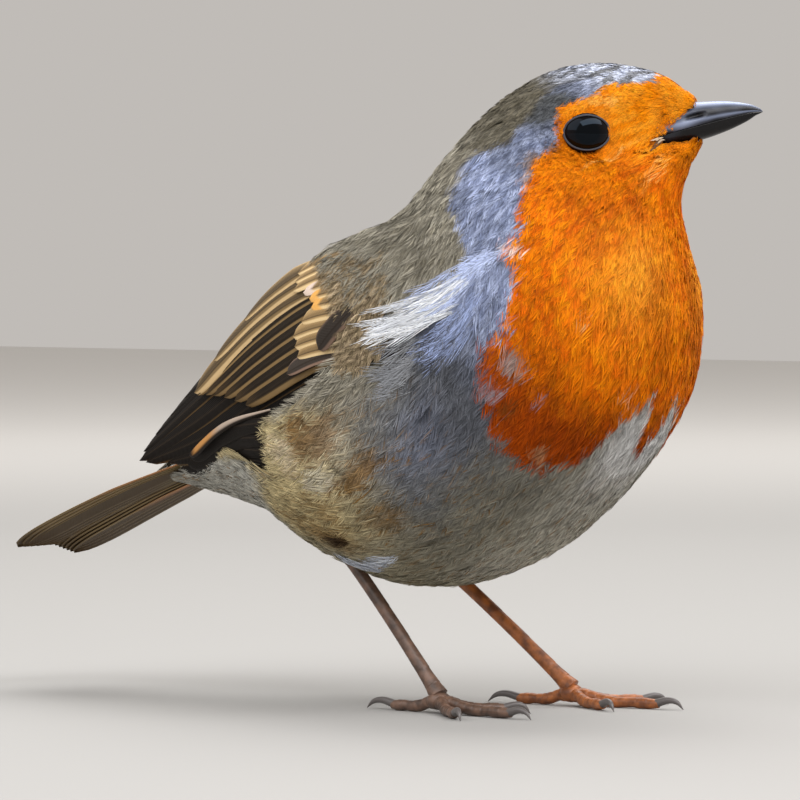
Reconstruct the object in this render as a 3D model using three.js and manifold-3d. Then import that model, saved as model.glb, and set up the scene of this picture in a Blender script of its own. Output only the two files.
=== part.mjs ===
// A European robin, Erithacus rubecula, at life size: a plump winter bird that stands on both feet with its
// head raised and turned a little to its left. Millimetres. The bird heads along +X, its left side is +Y and
// +Z is up. Its feet stand on z = 0. The solids are its outer form, out to the tips of its feathers.
import * as THREE from "three";
import { mergeVertices } from "three/addons/utils/BufferGeometryUtils.js";
import Module from "manifold-3d";

const wasm = await Module();
wasm.setup();

// ---------------------------------------------------------------- driving dimensions
const GAP = 0.3; // clearance between neighbouring pieces
const HEAD_TURN = THREE.MathUtils.degToRad(27); // how far the head looks to the bird's left
const NECK_AXIS_X = 7; // the head turns about a vertical line here
const TURN_FROM = 0.5; // share of the body's length where the turn begins, and where it is complete
const TURN_TO = 0.8;

// The body between its back line and its belly line, from the root of the tail to the root of the bill.
// back and belly are [x, z] on the mid-plane, half is the half width, and low says how far the widest place
// sits below the middle, as a share of the half depth.
const STATIONS = [
  { back: [-54.5, 37.2], belly: [-53.0, 30.6], half: 5.4, low: 0.0 }, // root of the tail
  { back: [-47.0, 43.6], belly: [-44.0, 28.8], half: 9.5, low: 0.0 },
  { back: [-39.0, 51.3], belly: [-34.5, 26.2], half: 15.5, low: 0.05 }, // rump and vent
  { back: [-31.5, 58.4], belly: [-24.0, 20.8], half: 21.3, low: 0.1 },
  { back: [-24.5, 64.4], belly: [-10.5, 17.2], half: 24.8, low: 0.12 }, // back and belly
  { back: [-17.5, 69.2], belly: [4.4, 21.2], half: 25.6, low: 0.1 },
  { back: [-11.5, 73.2], belly: [18.0, 31.5], half: 25.2, low: 0.05 }, // mantle and lower breast
  { back: [-7.5, 77.2], belly: [27.2, 43.5], half: 23.8, low: 0.0 },
  { back: [-4.8, 80.8], belly: [30.0, 56.0], half: 19.8, low: 0.0 }, // hind neck and breast
  { back: [-1.8, 84.4], belly: [28.6, 65.6], half: 14.8, low: 0.0 },
  { back: [2.6, 88.0], belly: [27.2, 72.2], half: 11.3, low: 0.0 }, // nape and throat
  { back: [8.6, 91.2], belly: [28.2, 77.4], half: 9.5, low: 0.0 },
  { back: [15.4, 92.3], belly: [30.0, 80.6], half: 7.3, low: 0.0 }, // crown and chin
  { back: [22.6, 91.2], belly: [31.0, 81.8], half: 5.1, low: 0.0 },
  { back: [28.4, 88.4], belly: [31.4, 82.5], half: 3.3, low: 0.0 }, // forehead
  { back: [30.6, 86.9], belly: [31.6, 83.0], half: 1.9, low: 0.0 },
];
// Ahead of the eyes the face narrows to the bill. reach is the greatest half width well behind and well ahead,
// between is where it changes along x, and chin is how fast it widens again below the bill.
const FACE = { reach: [15, 3.3], between: [11, 25], chinTop: 80.8, chin: 0.9, from: 0.62, to: 0.7 };
const FACE_SHARPNESS = 6;
const BODY_RINGS = 28;
const BODY_SIDES = 24;

// Where the body is parted: [a point on the mid-plane, the direction of the cut's normal towards the head].
const NECK_BASE = { at: [12, 72], normal: [-0.1, 0.99] };
const HEAD_BASE = { at: [12, 78], normal: [0, 1] };

// at is the right eye's centre in the unturned head, and forward is how many degrees it faces ahead.
const EYE = { at: [14.2, 8.75, 82.4], radius: [3.15, 2.3, 3.1], forward: 12 };
const SOCKET_GROW = 1.1; // the socket is this much larger than the eye, and opens outwards

// The bill's three lines in the head's own mid-plane, each as [x, z] from the hidden root to the tip.
const BILL = {
  culmen: [[25.0, 86.6], [30.0, 87.05], [33.5, 87.2], [36.6, 86.95], [38.2, 86.35], [38.75, 85.9]],
  mouth: [[25.0, 82.3], [30.0, 83.85], [33.5, 84.85], [36.6, 85.55], [38.2, 85.75], [38.75, 85.75]],
  keel: [[25.0, 80.6], [30.0, 81.75], [33.5, 83.05], [36.3, 84.35], [37.6, 85.15], [38.1, 85.4]],
  half: [3.1, 2.25, 1.5, 0.85, 0.4, 0.16],
};

// The folded wing is laid on a curved blade between its lower edge and its upper edge, from the wrist to the
// tip. Points are [x, distance from the mid-plane, z].
const WING_LOWER = [
  [13, 20.8, 51],
  [0, 23.0, 48.5],
  [-14, 21.2, 46.5],
  [-28, 15.6, 42.0],
  [-43, 9.8, 36.6],
  [-59.5, 4.8, 33.4],
];
const WING_UPPER = [
  [8, 17.4, 66.5],
  [-6, 16.0, 67.5],
  [-18, 12.2, 65.2],
  [-31.2, 8.8, 59.4],
  [-45.6, 6.2, 48.2],
  [-60.0, 4.2, 35.4],
];
const WING_BULGE = 2.2; // how far the blade's middle stands out from the plane between its edges
const VANE_THICK = 0.6;
const FEATHER_STEP = 0.3; // how far a feather's near edge stands over its neighbour
const LAYER = VANE_THICK + FEATHER_STEP + GAP;
const WING_LIFTS = { primaries: 0, secondaries: LAYER, coverts: 2 * LAYER };

const TAIL = { root: [-40, 37.4], tip: [-81.4, 20.3], rootHalf: 5.0, tipHalf: 8.2, feathers: 12 };

// Legs: the thigh's hidden root, the ankle, and the joint of the toes, each as [x, y, z].
const LEGS = {
  right: {
    side: -1,
    heading: -10,
    thigh: [-9, -9.5, 31],
    ankle: [-20.8, -9.2, 22.8],
    foot: [-3.3, -10.8, 2.6],
  },
  left: {
    side: 1,
    heading: 6,
    thigh: [-4, 9.5, 30],
    ankle: [-15.4, 8.8, 19.9],
    foot: [5.0, 11.2, 2.6],
  },
};
const TARSUS_RADIUS = 0.95;
const FOOT_RADIUS = 1.5;
const TOE_RADIUS = 0.82;
// turn: degrees from the foot's heading towards its outer side; length of the toe, and of its claw.
const TOES = {
  middle: { turn: 0, length: 14.0, claw: 4.2 },
  inner: { turn: -36, length: 9.8, claw: 3.6 },
  outer: { turn: 34, length: 10.8, claw: 3.6 },
  hind: { turn: 178, length: 8.8, claw: 5.4 },
};

const COLOURS = {
  olive: 0x6b6243,
  orange: 0xd9660f,
  blueGrey: 0x8590a6,
  bill: 0x25262b,
  eye: 0x0b0908,
  wing: 0x54452f,
  leg: 0x7a4a30,
  claw: 0x4a4442,
};

// ---------------------------------------------------------------- shared ways of making a closed body
const lerp = THREE.MathUtils.lerp;
const smooth = (x) => THREE.MathUtils.smoothstep(x, 0, 1);

// A closed geometry, turned right side out if its faces point inwards.
function closedGeometry(points, triangles) {
  const position = new Float32Array(points.flatMap((p) => [p.x, p.y, p.z]));
  const under = ([a, b, c]) => points[a].dot(points[b].clone().cross(points[c]));
  const volume = triangles.reduce((sum, triangle) => sum + under(triangle), 0);
  const faces = volume < 0 ? triangles.map(([a, b, c]) => [a, c, b]) : triangles;
  const geometry = new THREE.BufferGeometry();
  geometry.setAttribute("position", new THREE.BufferAttribute(position, 3));
  geometry.setIndex(faces.flat());
  geometry.computeVertexNormals();
  return geometry;
}

// Joins rings of equal length into one closed body, each end closed by a fan round its middle.
function skinRings(rings) {
  const sides = rings[0].length;
  const points = rings.flat();
  const triangles = [];
  for (let r = 0; r + 1 < rings.length; r++)
    for (let i = 0; i < sides; i++) {
      const a = r * sides + i;
      const b = r * sides + ((i + 1) % sides);
      triangles.push([a, b, a + sides], [b, b + sides, a + sides]);
    }
  for (const end of [0, rings.length - 1]) {
    const middle = rings[end].reduce((sum, p) => sum.add(p), new THREE.Vector3()).divideScalar(sides);
    const hub = points.push(middle) - 1;
    for (let i = 0; i < sides; i++) {
      const a = end * sides + i;
      const b = end * sides + ((i + 1) % sides);
      triangles.push(end ? [a, b, hub] : [b, a, hub]);
    }
  }
  return closedGeometry(points, triangles);
}

// Joins an upper and a lower grid of points, of the same rows and columns, into one closed sheet.
function thickSheet(over, under) {
  const rows = over.length;
  const columns = over[0].length;
  const points = [...over.flat(), ...under.flat()];
  const index = (layer, r, c) => (layer * rows + r) * columns + c;
  const triangles = [];
  const quad = (a, b, c, d) => triangles.push([a, b, c], [a, c, d]);
  for (let r = 0; r + 1 < rows; r++)
    for (let c = 0; c + 1 < columns; c++) {
      quad(index(0, r, c), index(0, r, c + 1), index(0, r + 1, c + 1), index(0, r + 1, c));
      quad(index(1, r, c), index(1, r + 1, c), index(1, r + 1, c + 1), index(1, r, c + 1));
    }
  for (let c = 0; c + 1 < columns; c++) {
    quad(index(0, 0, c), index(1, 0, c), index(1, 0, c + 1), index(0, 0, c + 1));
    quad(index(0, rows - 1, c), index(0, rows - 1, c + 1), index(1, rows - 1, c + 1), index(1, rows - 1, c));
  }
  for (let r = 0; r + 1 < rows; r++) {
    quad(index(0, r, 0), index(0, r + 1, 0), index(1, r + 1, 0), index(1, r, 0));
    const c = columns - 1;
    quad(index(0, r, c), index(1, r, c), index(1, r + 1, c), index(0, r + 1, c));
  }
  return closedGeometry(points, triangles);
}

// A curve through a few points, as a function of 0 to 1.
function through(points) {
  const stops = points.map((p) => new THREE.Vector3(...p));
  const curve = new THREE.CatmullRomCurve3(stops, false, "catmullrom", 0.5);
  return (share) => curve.getPoint(THREE.MathUtils.clamp(share, 0, 1));
}

const series = (count, make) => Array.from({ length: count }, (_, k) => make(k));

// A round limb along a path, with a radius for each place on it, cut flat where it meets the floor.
function limb(path, radiusAt, rings, sides, floor = true) {
  const curve = through(path);
  const up = new THREE.Vector3(0, 1, 0);
  const made = [];
  for (let r = 0; r <= rings; r++) {
    const share = r / rings;
    const centre = curve(share);
    const ahead = curve(share + 0.02).sub(curve(share - 0.02)).normalize();
    const side = up.clone().addScaledVector(ahead, -up.dot(ahead)).normalize();
    if (Math.abs(up.dot(ahead)) > 0.85) side.crossVectors(ahead, new THREE.Vector3(0, 0, 1)).normalize();
    const lift = new THREE.Vector3().crossVectors(ahead, side);
    made.push(
      Array.from({ length: sides }, (_, i) => {
        const angle = (2 * Math.PI * i) / sides;
        const reach = radiusAt(share);
        const p = centre.clone().addScaledVector(side, reach * Math.cos(angle));
        p.addScaledVector(lift, reach * Math.sin(angle));
        if (floor) p.z = Math.max(p.z, 0);
        return p;
      }),
    );
  }
  return skinRings(made);
}

function solidOf(geometry) {
  const plain = geometry.clone();
  plain.deleteAttribute("normal");
  plain.deleteAttribute("uv");
  const merged = mergeVertices(plain, 1e-4);
  return new wasm.Manifold(
    new wasm.Mesh({
      numProp: 3,
      vertProperties: new Float32Array(merged.attributes.position.array),
      triVerts: new Uint32Array(merged.index.array),
    }),
  );
}

function geometryOf(solid) {
  const mesh = solid.getMesh();
  const geometry = new THREE.BufferGeometry();
  geometry.setAttribute("position", new THREE.BufferAttribute(new Float32Array(mesh.vertProperties), 3));
  geometry.setIndex(new THREE.BufferAttribute(new Uint32Array(mesh.triVerts), 1));
  geometry.computeVertexNormals();
  return geometry;
}

// The largest of a solid's separate bodies: a cut can leave slivers, which are dropped.
const mainBody = (solid) => solid.decompose().reduce((best, s) => (s.volume() > best.volume() ? s : best));

const robin = new THREE.Group();
function add(name, geometry, colour, { roughness = 0.9, parent = robin } = {}) {
  const material = new THREE.MeshStandardMaterial({ color: colour, roughness, metalness: 0 });
  const mesh = new THREE.Mesh(geometry, material);
  mesh.name = name;
  parent.add(mesh);
  return mesh;
}

// ---------------------------------------------------------------- body: trunk, neck and head in one form
const backLine = through(STATIONS.map((s) => [s.back[0], 0, s.back[1]]));
const bellyLine = through(STATIONS.map((s) => [s.belly[0], 0, s.belly[1]]));
const girth = through(STATIONS.map((s) => [s.half, s.low, 0]));
const vertical = new THREE.Vector3(0, 0, 1);
const neckAxis = new THREE.Vector3(NECK_AXIS_X, 0, 0);

// Turns a point of the head about the neck, by a share of the whole turn.
const turned = (p, share) => p.sub(neckAxis).applyAxisAngle(vertical, HEAD_TURN * share).add(neckAxis);

// How far a point of the face may lie from the mid-plane, as it narrows to the bill.
function narrowed({ x, y, z }, share) {
  const ahead = smooth((x - FACE.between[0]) / (FACE.between[1] - FACE.between[0]));
  const behind = 40 * (1 - smooth((share - FACE.from) / (FACE.to - FACE.from)));
  const reach = lerp(...FACE.reach, ahead) + FACE.chin * Math.max(0, FACE.chinTop - z) + behind;
  return y / (1 + (Math.abs(y) / reach) ** FACE_SHARPNESS) ** (1 / FACE_SHARPNESS);
}

// A point of the body's surface: share runs from tail to bill, and angle from the back round the left side.
function bodyPoint(share, angle) {
  const back = backLine(share);
  const belly = bellyLine(share);
  const { x: half, y: low } = girth(share);
  const towardsBack = back.clone().sub(belly).multiplyScalar(0.5);
  const p = back.add(belly).multiplyScalar(0.5);
  p.addScaledVector(towardsBack, Math.cos(angle) - low * Math.sin(angle) ** 2);
  p.y += half * Math.sin(angle);
  p.y = narrowed(p, share);
  return turned(p, smooth((share - TURN_FROM) / (TURN_TO - TURN_FROM)));
}

const bodyRings = Array.from({ length: BODY_RINGS + 1 }, (_, r) =>
  Array.from({ length: BODY_SIDES }, (_, i) => bodyPoint(r / BODY_RINGS, (2 * Math.PI * i) / BODY_SIDES)),
);
const body = solidOf(skinRings(bodyRings));

// Everything on the head's side of a cut, less half the gap.
function beyond({ at, normal }, towardsHead) {
  const size = 200;
  const n = new THREE.Vector3(normal[0], 0, normal[1]).normalize().multiplyScalar(towardsHead ? 1 : -1);
  const box = new THREE.BoxGeometry(size, size, size);
  box.translate(0, 0, size / 2 + GAP / 2);
  box.applyQuaternion(new THREE.Quaternion().setFromUnitVectors(vertical, n));
  return solidOf(box.translate(at[0], 0, at[1]));
}

// ---------------------------------------------------------------- eyes and bill, in the head's turned frame
const headFrame = new THREE.Group();
headFrame.position.copy(neckAxis);
headFrame.rotation.z = HEAD_TURN;
headFrame.updateMatrixWorld(true);

function eyeGeometry(side, grow, socket = false) {
  const [length, depth, height] = EYE.radius.map((r) => r * grow);
  const ring = (reach, out) =>
    series(14, (i) => {
      const round = (2 * Math.PI * i) / 14;
      const ahead = length * reach * Math.cos(round);
      return new THREE.Vector3(ahead, side * out, height * reach * Math.sin(round));
    });
  const slopes = series(9, (r) => (Math.PI * (r + 0.5)) / 9);
  const rings = slopes.map((slope) => ring(Math.sin(slope), -depth * Math.cos(slope)));
  const eye = skinRings(socket ? [...rings.slice(0, 5), ring(1.25, 6)] : rings);
  eye.rotateZ(-side * THREE.MathUtils.degToRad(EYE.forward));
  return eye.translate(EYE.at[0] - NECK_AXIS_X, side * EYE.at[1], EYE.at[2]);
}

const BILL_SIDES = 8;
const BILL_RINGS = 10;
function mandible(upper, grow) {
  const ridge = through((upper ? BILL.culmen : BILL.keel).map(([x, z]) => [x, 0, z]));
  const mouth = through(BILL.mouth.map(([x, z]) => [x, 0, z]));
  const half = through(BILL.half.map((h) => [h, 0, 0]));
  const parting = (upper ? GAP : -GAP) / 2;
  const rings = Array.from({ length: BILL_RINGS + 1 }, (_, r) => {
    const share = r / BILL_RINGS;
    const edge = mouth(share);
    const top = ridge(share);
    const rise = top.z - edge.z - parting + (upper ? grow : -grow);
    return Array.from({ length: BILL_SIDES }, (_, i) => {
      const angle = Math.PI * (i / (BILL_SIDES - 1) - 0.5);
      const arch = Math.cos(angle) ** 0.8;
      const x = lerp(edge.x, top.x, arch) - NECK_AXIS_X;
      const y = (half(share).x + grow) * Math.sin(angle);
      return new THREE.Vector3(x, y, edge.z + parting + rise * arch - (upper ? grow : -grow) * (1 - arch));
    });
  });
  return skinRings(rings);
}

// ---------------------------------------------------------------- wings
const lowerEdge = through(WING_LOWER);
const upperEdge = through(WING_UPPER);

// A point of the folded wing: along from wrist to tip, across from lower edge to upper, lifted outwards.
function wingPoint(side, along, across, lift) {
  const low = lowerEdge(along);
  const high = upperEdge(along);
  const span = high.clone().sub(low);
  const ahead = lowerEdge(along + 0.02).sub(lowerEdge(along - 0.02));
  const out = new THREE.Vector3().crossVectors(ahead, span).normalize();
  if (out.y < 0) out.negate();
  const bulge = WING_BULGE * Math.min(1, span.length() / 15) * 4 * across * (1 - across);
  const p = low.addScaledVector(span, across).addScaledVector(out, bulge + lift);
  return new THREE.Vector3(p.x, p.y * side, p.z);
}

// A sheet of overlapping feathers as one closed body. Each feather runs from the root row to its own rounded
// tip, with one edge raised over its neighbour. place(along, edge, lift) gives a point, with edge counted in
// feathers from the first one's near edge.
function featherSheet({ feathers, rows, points, tipOf, rounding, place, raise }) {
  const grid = (lift) =>
    Array.from({ length: rows + 1 }, (_, r) =>
      Array.from({ length: feathers * points }, (_, c) => {
        const k = Math.floor(c / points);
        const j = (c % points) / (points - 1);
        const end = tipOf(k) - rounding * Math.abs(2 * j - 1) ** 3;
        return place((r / rows) ** 0.9 * end, k + j, lift + raise(k, j));
      }),
    );
  return thickSheet(grid(VANE_THICK), grid(0));
}

// A patch of the wing as one smooth shell. front and rear say how much its ends are rounded off.
function shell(side, [from, to], [lowAcross, highAcross], [low, high], [front, rear], rows) {
  const columns = 6;
  const grid = (lift) =>
    Array.from({ length: rows + 1 }, (_, r) =>
      Array.from({ length: columns + 1 }, (_, c) => {
        const w = c / columns;
        const corner = (2 * w - 1) ** 2;
        const along = lerp(from + front * corner, to - rear * corner, r / rows);
        return wingPoint(side, along, lerp(lowAcross, highAcross, w), lift);
      }),
    );
  return solidOf(thickSheet(grid(high), grid(low)));
}

// Which feathers each layer of the folded wing shows: from is where their roots are along the wing, roots and
// tips are the layer's two edges across it at each end, and tipOf says how far along each feather reaches.
const WING_FEATHERS = {
  primaries: {
    count: 6,
    from: 0.22,
    roots: [0.02, 0.5],
    tips: [0.3, 1.0],
    tipOf: (k) => 1 - 0.045 * k,
  },
  secondaries: {
    count: 6,
    from: 0.18,
    roots: [0.16, 0.97],
    tips: [0.36, 0.99],
    tipOf: (k) => 0.7 - 0.014 * k,
  },
};

function wingLayer(side, { count, from, roots, tips, tipOf }, lift) {
  const place = (share, edge, height) => {
    const along = from + share;
    const spread = smooth(share / (1 - from));
    const across = lerp(lerp(roots[0], roots[1], edge / count), lerp(tips[0], tips[1], edge / count), spread);
    return wingPoint(side, along, across, lift + height);
  };
  const raise = (k, j) => FEATHER_STEP * (1 - j);
  const reach = (k) => tipOf(k) - from;
  return featherSheet({ feathers: count, rows: 5, points: 3, tipOf: reach, rounding: 0.05, place, raise });
}

function wingPieces(side) {
  const { primaries, secondaries, coverts } = WING_LIFTS;
  return {
    primaries: solidOf(wingLayer(side, WING_FEATHERS.primaries, primaries)),
    secondaries: solidOf(wingLayer(side, WING_FEATHERS.secondaries, secondaries)),
    coverts: shell(side, [0.012, 0.42], [0.01, 0.99], [coverts, coverts + 0.8], [0.08, 0.08], 5),
  };
}

// The room that the whole folded wing takes out of the trunk.
const wingRoom = (side) => shell(side, [0, 1], [-0.035, 1.035], [-GAP, 9], [0.07, 0], 9);

// ---------------------------------------------------------------- tail: overlapping feathers in a narrow fan
const tailRoot = new THREE.Vector3(TAIL.root[0], 0, TAIL.root[1]);
const tailRun = new THREE.Vector3(TAIL.tip[0], 0, TAIL.tip[1]).sub(tailRoot);
const tailUp = new THREE.Vector3(-tailRun.z, 0, tailRun.x).normalize().negate();

function tailSheet() {
  const middle = TAIL.feathers / 2;
  const place = (share, edge, lift) => {
    const across = edge / middle - 1; // -1 at the right edge, 1 at the left
    const p = tailRoot.clone().addScaledVector(tailRun, share);
    p.y = across * lerp(TAIL.rootHalf, TAIL.tipHalf, smooth(share * 1.2));
    return p.addScaledVector(tailUp, lift - 1.2 * across ** 2 + 0.8 * Math.sin(Math.PI * share));
  };
  const raise = (k, j) => FEATHER_STEP * (k < middle ? j : 1 - j);
  const tipOf = (k) => 0.975 + 0.025 * Math.abs(k + 0.5 - middle) / middle;
  return featherSheet({ feathers: TAIL.feathers, rows: 3, points: 3, tipOf, rounding: 0.035, place, raise });
}

// The slot that the tail's root takes out of the trunk.
function tailSlot() {
  const [width, height, length] = [2 * TAIL.rootHalf + 6, 3.9, 30];
  const box = new THREE.BoxGeometry(length, width, height);
  box.rotateY(-Math.atan2(-tailRun.z, -tailRun.x));
  const centre = tailRoot.clone().addScaledVector(tailRun, (length / 2 - 2) / tailRun.length());
  return solidOf(box.translate(centre.x, 0, centre.z));
}

// ---------------------------------------------------------------- legs and feet
const vec = (p) => new THREE.Vector3(...p);

function thigh(leg, grow) {
  const [top, ankle] = [vec(leg.thigh), vec(leg.ankle)];
  const end = ankle.clone().addScaledVector(top.clone().sub(ankle).normalize(), -0.2);
  const radius = (share) => lerp(6.2, 1.75, smooth(share) ** 0.8) + grow;
  return solidOf(limb([top, top.clone().lerp(end, 0.5), end].map((p) => p.toArray()), radius, 6, 12, false));
}

function tarsus(leg, grow) {
  const [ankle, foot] = [vec(leg.ankle), vec(leg.foot)];
  const path = series(5, (k) => {
    const p = ankle.clone().lerp(foot, k / 4);
    p.x += 0.35 * Math.sin((Math.PI * k) / 4);
    return p.toArray();
  });
  const swell = (share, place, amount) => amount * Math.exp(-(((share - place) / 0.07) ** 2));
  const joints = (share) => swell(share, 0.02, 0.55) + swell(share, 0.97, FOOT_RADIUS - TARSUS_RADIUS);
  return solidOf(limb(path, (share) => TARSUS_RADIUS + joints(share) + grow, 10, 8));
}

// The path of a toe in its own upright plane, from the joint down to the floor and along it: [ahead, height].
function toePlace(leg, toe, ahead, height) {
  const angle = THREE.MathUtils.degToRad(leg.heading + leg.side * toe.turn);
  return [leg.foot[0] + ahead * Math.cos(angle), leg.foot[1] + ahead * Math.sin(angle), height];
}

function toeSolid(leg, toe, grow) {
  const flat = TOE_RADIUS * 0.78;
  const run = [[0, 2.3], [0.22, 1.55], [0.45, flat], [0.72, flat + 0.15], [1, flat]];
  const path = run.map(([share, height]) => toePlace(leg, toe, share * toe.length, height));
  const knuckles = (share) => 1 + 0.13 * Math.cos(2 * Math.PI * 3 * share);
  const radius = (share) => TOE_RADIUS * (1.06 - 0.2 * share) * knuckles(share) + grow;
  return solidOf(limb(path, radius, 9, 6));
}

function clawGeometry(leg, toe) {
  const start = toe.length + GAP;
  const bend = [[0, 0.95], [0.35, 1.3], [0.72, 1.0], [1, 0.12]];
  const path = bend.map(([share, height]) => toePlace(leg, toe, start + share * toe.claw * 0.9, height));
  return limb(path, (share) => lerp(0.62, 0.09, share ** 0.9), 4, 6);
}

// ---------------------------------------------------------------- putting the bird together
const wings = { right: wingPieces(-1), left: wingPieces(1) };
const sides = { right: -1, left: 1 };

let flesh = body;
for (const side of Object.values(sides)) {
  flesh = flesh.subtract(solidOf(eyeGeometry(side, SOCKET_GROW, true).applyMatrix4(headFrame.matrixWorld)));
  flesh = flesh.subtract(wingRoom(side));
}
for (const leg of Object.values(LEGS)) flesh = flesh.subtract(thigh(leg, GAP)).subtract(tarsus(leg, GAP));
for (const upper of [true, false]) {
  flesh = flesh.subtract(solidOf(mandible(upper, GAP).applyMatrix4(headFrame.matrixWorld)));
}

const trunk = flesh.intersect(beyond(NECK_BASE, false)).subtract(tailSlot());
const neck = flesh.intersect(beyond(NECK_BASE, true)).intersect(beyond(HEAD_BASE, false));
const head = flesh.intersect(beyond(HEAD_BASE, true));
add("trunk", geometryOf(mainBody(trunk)), COLOURS.olive);
add("neck", geometryOf(mainBody(neck)), COLOURS.blueGrey);
add("head", geometryOf(mainBody(head)), COLOURS.orange);
add("tail", tailSheet(), COLOURS.wing);

robin.add(headFrame);
add("bill_upper", mandible(true, 0), COLOURS.bill, { roughness: 0.35, parent: headFrame });
add("bill_lower", mandible(false, 0), COLOURS.bill, { roughness: 0.35, parent: headFrame });

for (const [name, side] of Object.entries(sides)) {
  add(`eye_${name}`, eyeGeometry(side, 1), COLOURS.eye, { roughness: 0.05, parent: headFrame });
  for (const [part, solid] of Object.entries(wings[name])) {
    add(`wing_${name}_${part}`, geometryOf(mainBody(solid)), COLOURS.wing, { roughness: 0.8 });
  }
}

for (const [name, leg] of Object.entries(LEGS)) {
  const shank = tarsus(leg, 0);
  add(`thigh_${name}`, geometryOf(mainBody(thigh(leg, 0).subtract(tarsus(leg, GAP)))), COLOURS.olive);
  add(`tarsus_${name}`, geometryOf(shank), COLOURS.leg, { roughness: 0.6 });
  let taken = tarsus(leg, GAP);
  for (const [which, toe] of Object.entries(TOES)) {
    const digit = mainBody(toeSolid(leg, toe, 0).subtract(taken));
    add(`toe_${name}_${which}`, geometryOf(digit), COLOURS.leg, { roughness: 0.6 });
    add(`claw_${name}_${which}`, clawGeometry(leg, toe), COLOURS.claw, { roughness: 0.4 });
    taken = taken.add(toeSolid(leg, toe, GAP));
  }
}

// The origin is at the middle of the bird's box, on the floor.
const extent = new THREE.Box3().setFromObject(robin, true);
robin.position.set(-(extent.min.x + extent.max.x) / 2, -(extent.min.y + extent.max.y) / 2, 0);

export default robin;
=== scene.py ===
"""A European robin, made as a life-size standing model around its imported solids.

Everything is in the solids' own frame: the bird heads along +X, its left side is +Y and its feet stand
on z = 0.
"""

import itertools
import math

import bmesh
import bpy
import numpy as np
from mathutils import Matrix, Vector, kdtree


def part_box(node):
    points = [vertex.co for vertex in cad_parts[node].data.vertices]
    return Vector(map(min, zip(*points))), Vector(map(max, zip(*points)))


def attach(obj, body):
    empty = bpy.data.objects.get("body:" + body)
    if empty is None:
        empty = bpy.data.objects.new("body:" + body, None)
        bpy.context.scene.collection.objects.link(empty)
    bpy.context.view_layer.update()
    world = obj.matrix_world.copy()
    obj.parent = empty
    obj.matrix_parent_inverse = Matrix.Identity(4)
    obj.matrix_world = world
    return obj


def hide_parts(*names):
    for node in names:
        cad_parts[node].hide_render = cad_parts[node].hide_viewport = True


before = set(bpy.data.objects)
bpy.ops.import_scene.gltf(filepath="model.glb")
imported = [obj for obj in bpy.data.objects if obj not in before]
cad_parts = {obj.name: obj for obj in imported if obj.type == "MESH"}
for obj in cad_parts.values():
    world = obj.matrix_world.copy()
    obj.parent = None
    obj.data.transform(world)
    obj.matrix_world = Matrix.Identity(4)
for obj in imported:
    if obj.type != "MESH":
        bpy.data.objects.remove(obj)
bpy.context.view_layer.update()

# ---------------------------------------------------------------- form of the body
# The bird's outer form, out to the tips of its contour feathers. It isn't a piece: the skin lies inside it by
# the coat's depth, and the coat's feathers rise from the skin to it. It is the same form as the trunk's, the
# neck's and the head's, from the tail's root to the bill's root.
MM = 0.001
HEAD_TURN = math.radians(27)  # how far the head looks to the bird's left
NECK_AXIS_X = 7.0
TURN_FROM, TURN_TO = 0.5, 0.8  # shares of the body's length between which the neck turns
EYE_AT = np.array([14.2, 8.75, 82.4])  # the left eye's centre while the head looks straight ahead
BACK_LINE = [
    (-54.5, 37.2), (-47.0, 43.6), (-39.0, 51.3), (-31.5, 58.4), (-24.5, 64.4), (-17.5, 69.2), (-11.5, 73.2),
    (-7.5, 77.2), (-4.8, 80.8), (-1.8, 84.4), (2.6, 88.0), (8.6, 91.2), (15.4, 92.3), (22.6, 91.2),
    (28.4, 88.4), (30.6, 86.9),
]
BELLY_LINE = [
    (-53.0, 30.6), (-44.0, 28.8), (-34.5, 26.2), (-24.0, 20.8), (-10.5, 17.2), (4.4, 21.2), (18.0, 31.5),
    (27.2, 43.5), (30.0, 56.0), (28.6, 65.6), (27.2, 72.2), (28.2, 77.4), (30.0, 80.6), (31.0, 81.8),
    (31.4, 82.5), (31.6, 83.0),
]
HALF_WIDTH = [5.4, 9.5, 15.5, 21.3, 24.8, 25.6, 25.2, 23.8, 19.8, 14.8, 11.3, 9.5, 7.3, 5.1, 3.3, 1.9]
WIDEST_BELOW = [0, 0, 0.05, 0.1, 0.12, 0.1, 0.05, 0, 0, 0, 0, 0, 0, 0, 0, 0]  # share of the half depth


def smooth(x):
    x = np.clip(x, 0, 1)
    return x * x * (3 - 2 * x)


def unit(v):
    return v / np.maximum(np.linalg.norm(v, axis=-1, keepdims=True), 1e-9)


def through(points):
    """A curve through a few points, as a function of 0 to 1."""
    p = np.asarray(points, float).reshape(len(points), -1)
    q = np.vstack([2 * p[0] - p[1], p, 2 * p[-1] - p[-2]])

    def at(share):
        t = np.clip(np.asarray(share, float), 0, 1) * (len(p) - 1)
        i = np.minimum(t.astype(int), len(p) - 2)
        w = (t - i)[..., None]
        a, b, c, d = q[i], q[i + 1], q[i + 2], q[i + 3]
        cubic = 3 * b - a - 3 * c + d
        return 0.5 * (2 * b + (c - a) * w + (2 * a - 5 * b + 4 * c - d) * w**2 + cubic * w**3)

    return at


def about_neck(points, share):
    """Turns points about the neck by a share of the head's turn."""
    turn = HEAD_TURN * share
    x, y = points[..., 0] - NECK_AXIS_X, points[..., 1]
    turned = [NECK_AXIS_X + x * np.cos(turn) - y * np.sin(turn), x * np.sin(turn) + y * np.cos(turn)]
    return np.stack([*turned, points[..., 2]], -1)


back_line, belly_line = through(BACK_LINE), through(BELLY_LINE)
girth = through(list(zip(HALF_WIDTH, WIDEST_BELOW)))


FACE_REACH, FACE_BETWEEN = (15.0, 3.3), (11.0, 25.0)  # the face narrows from the eyes to the bill
CHIN_TOP, CHIN_WIDENS = 80.8, 0.9
FACE_FROM, FACE_TO, FACE_SHARPNESS = 0.62, 0.7, 6


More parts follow.
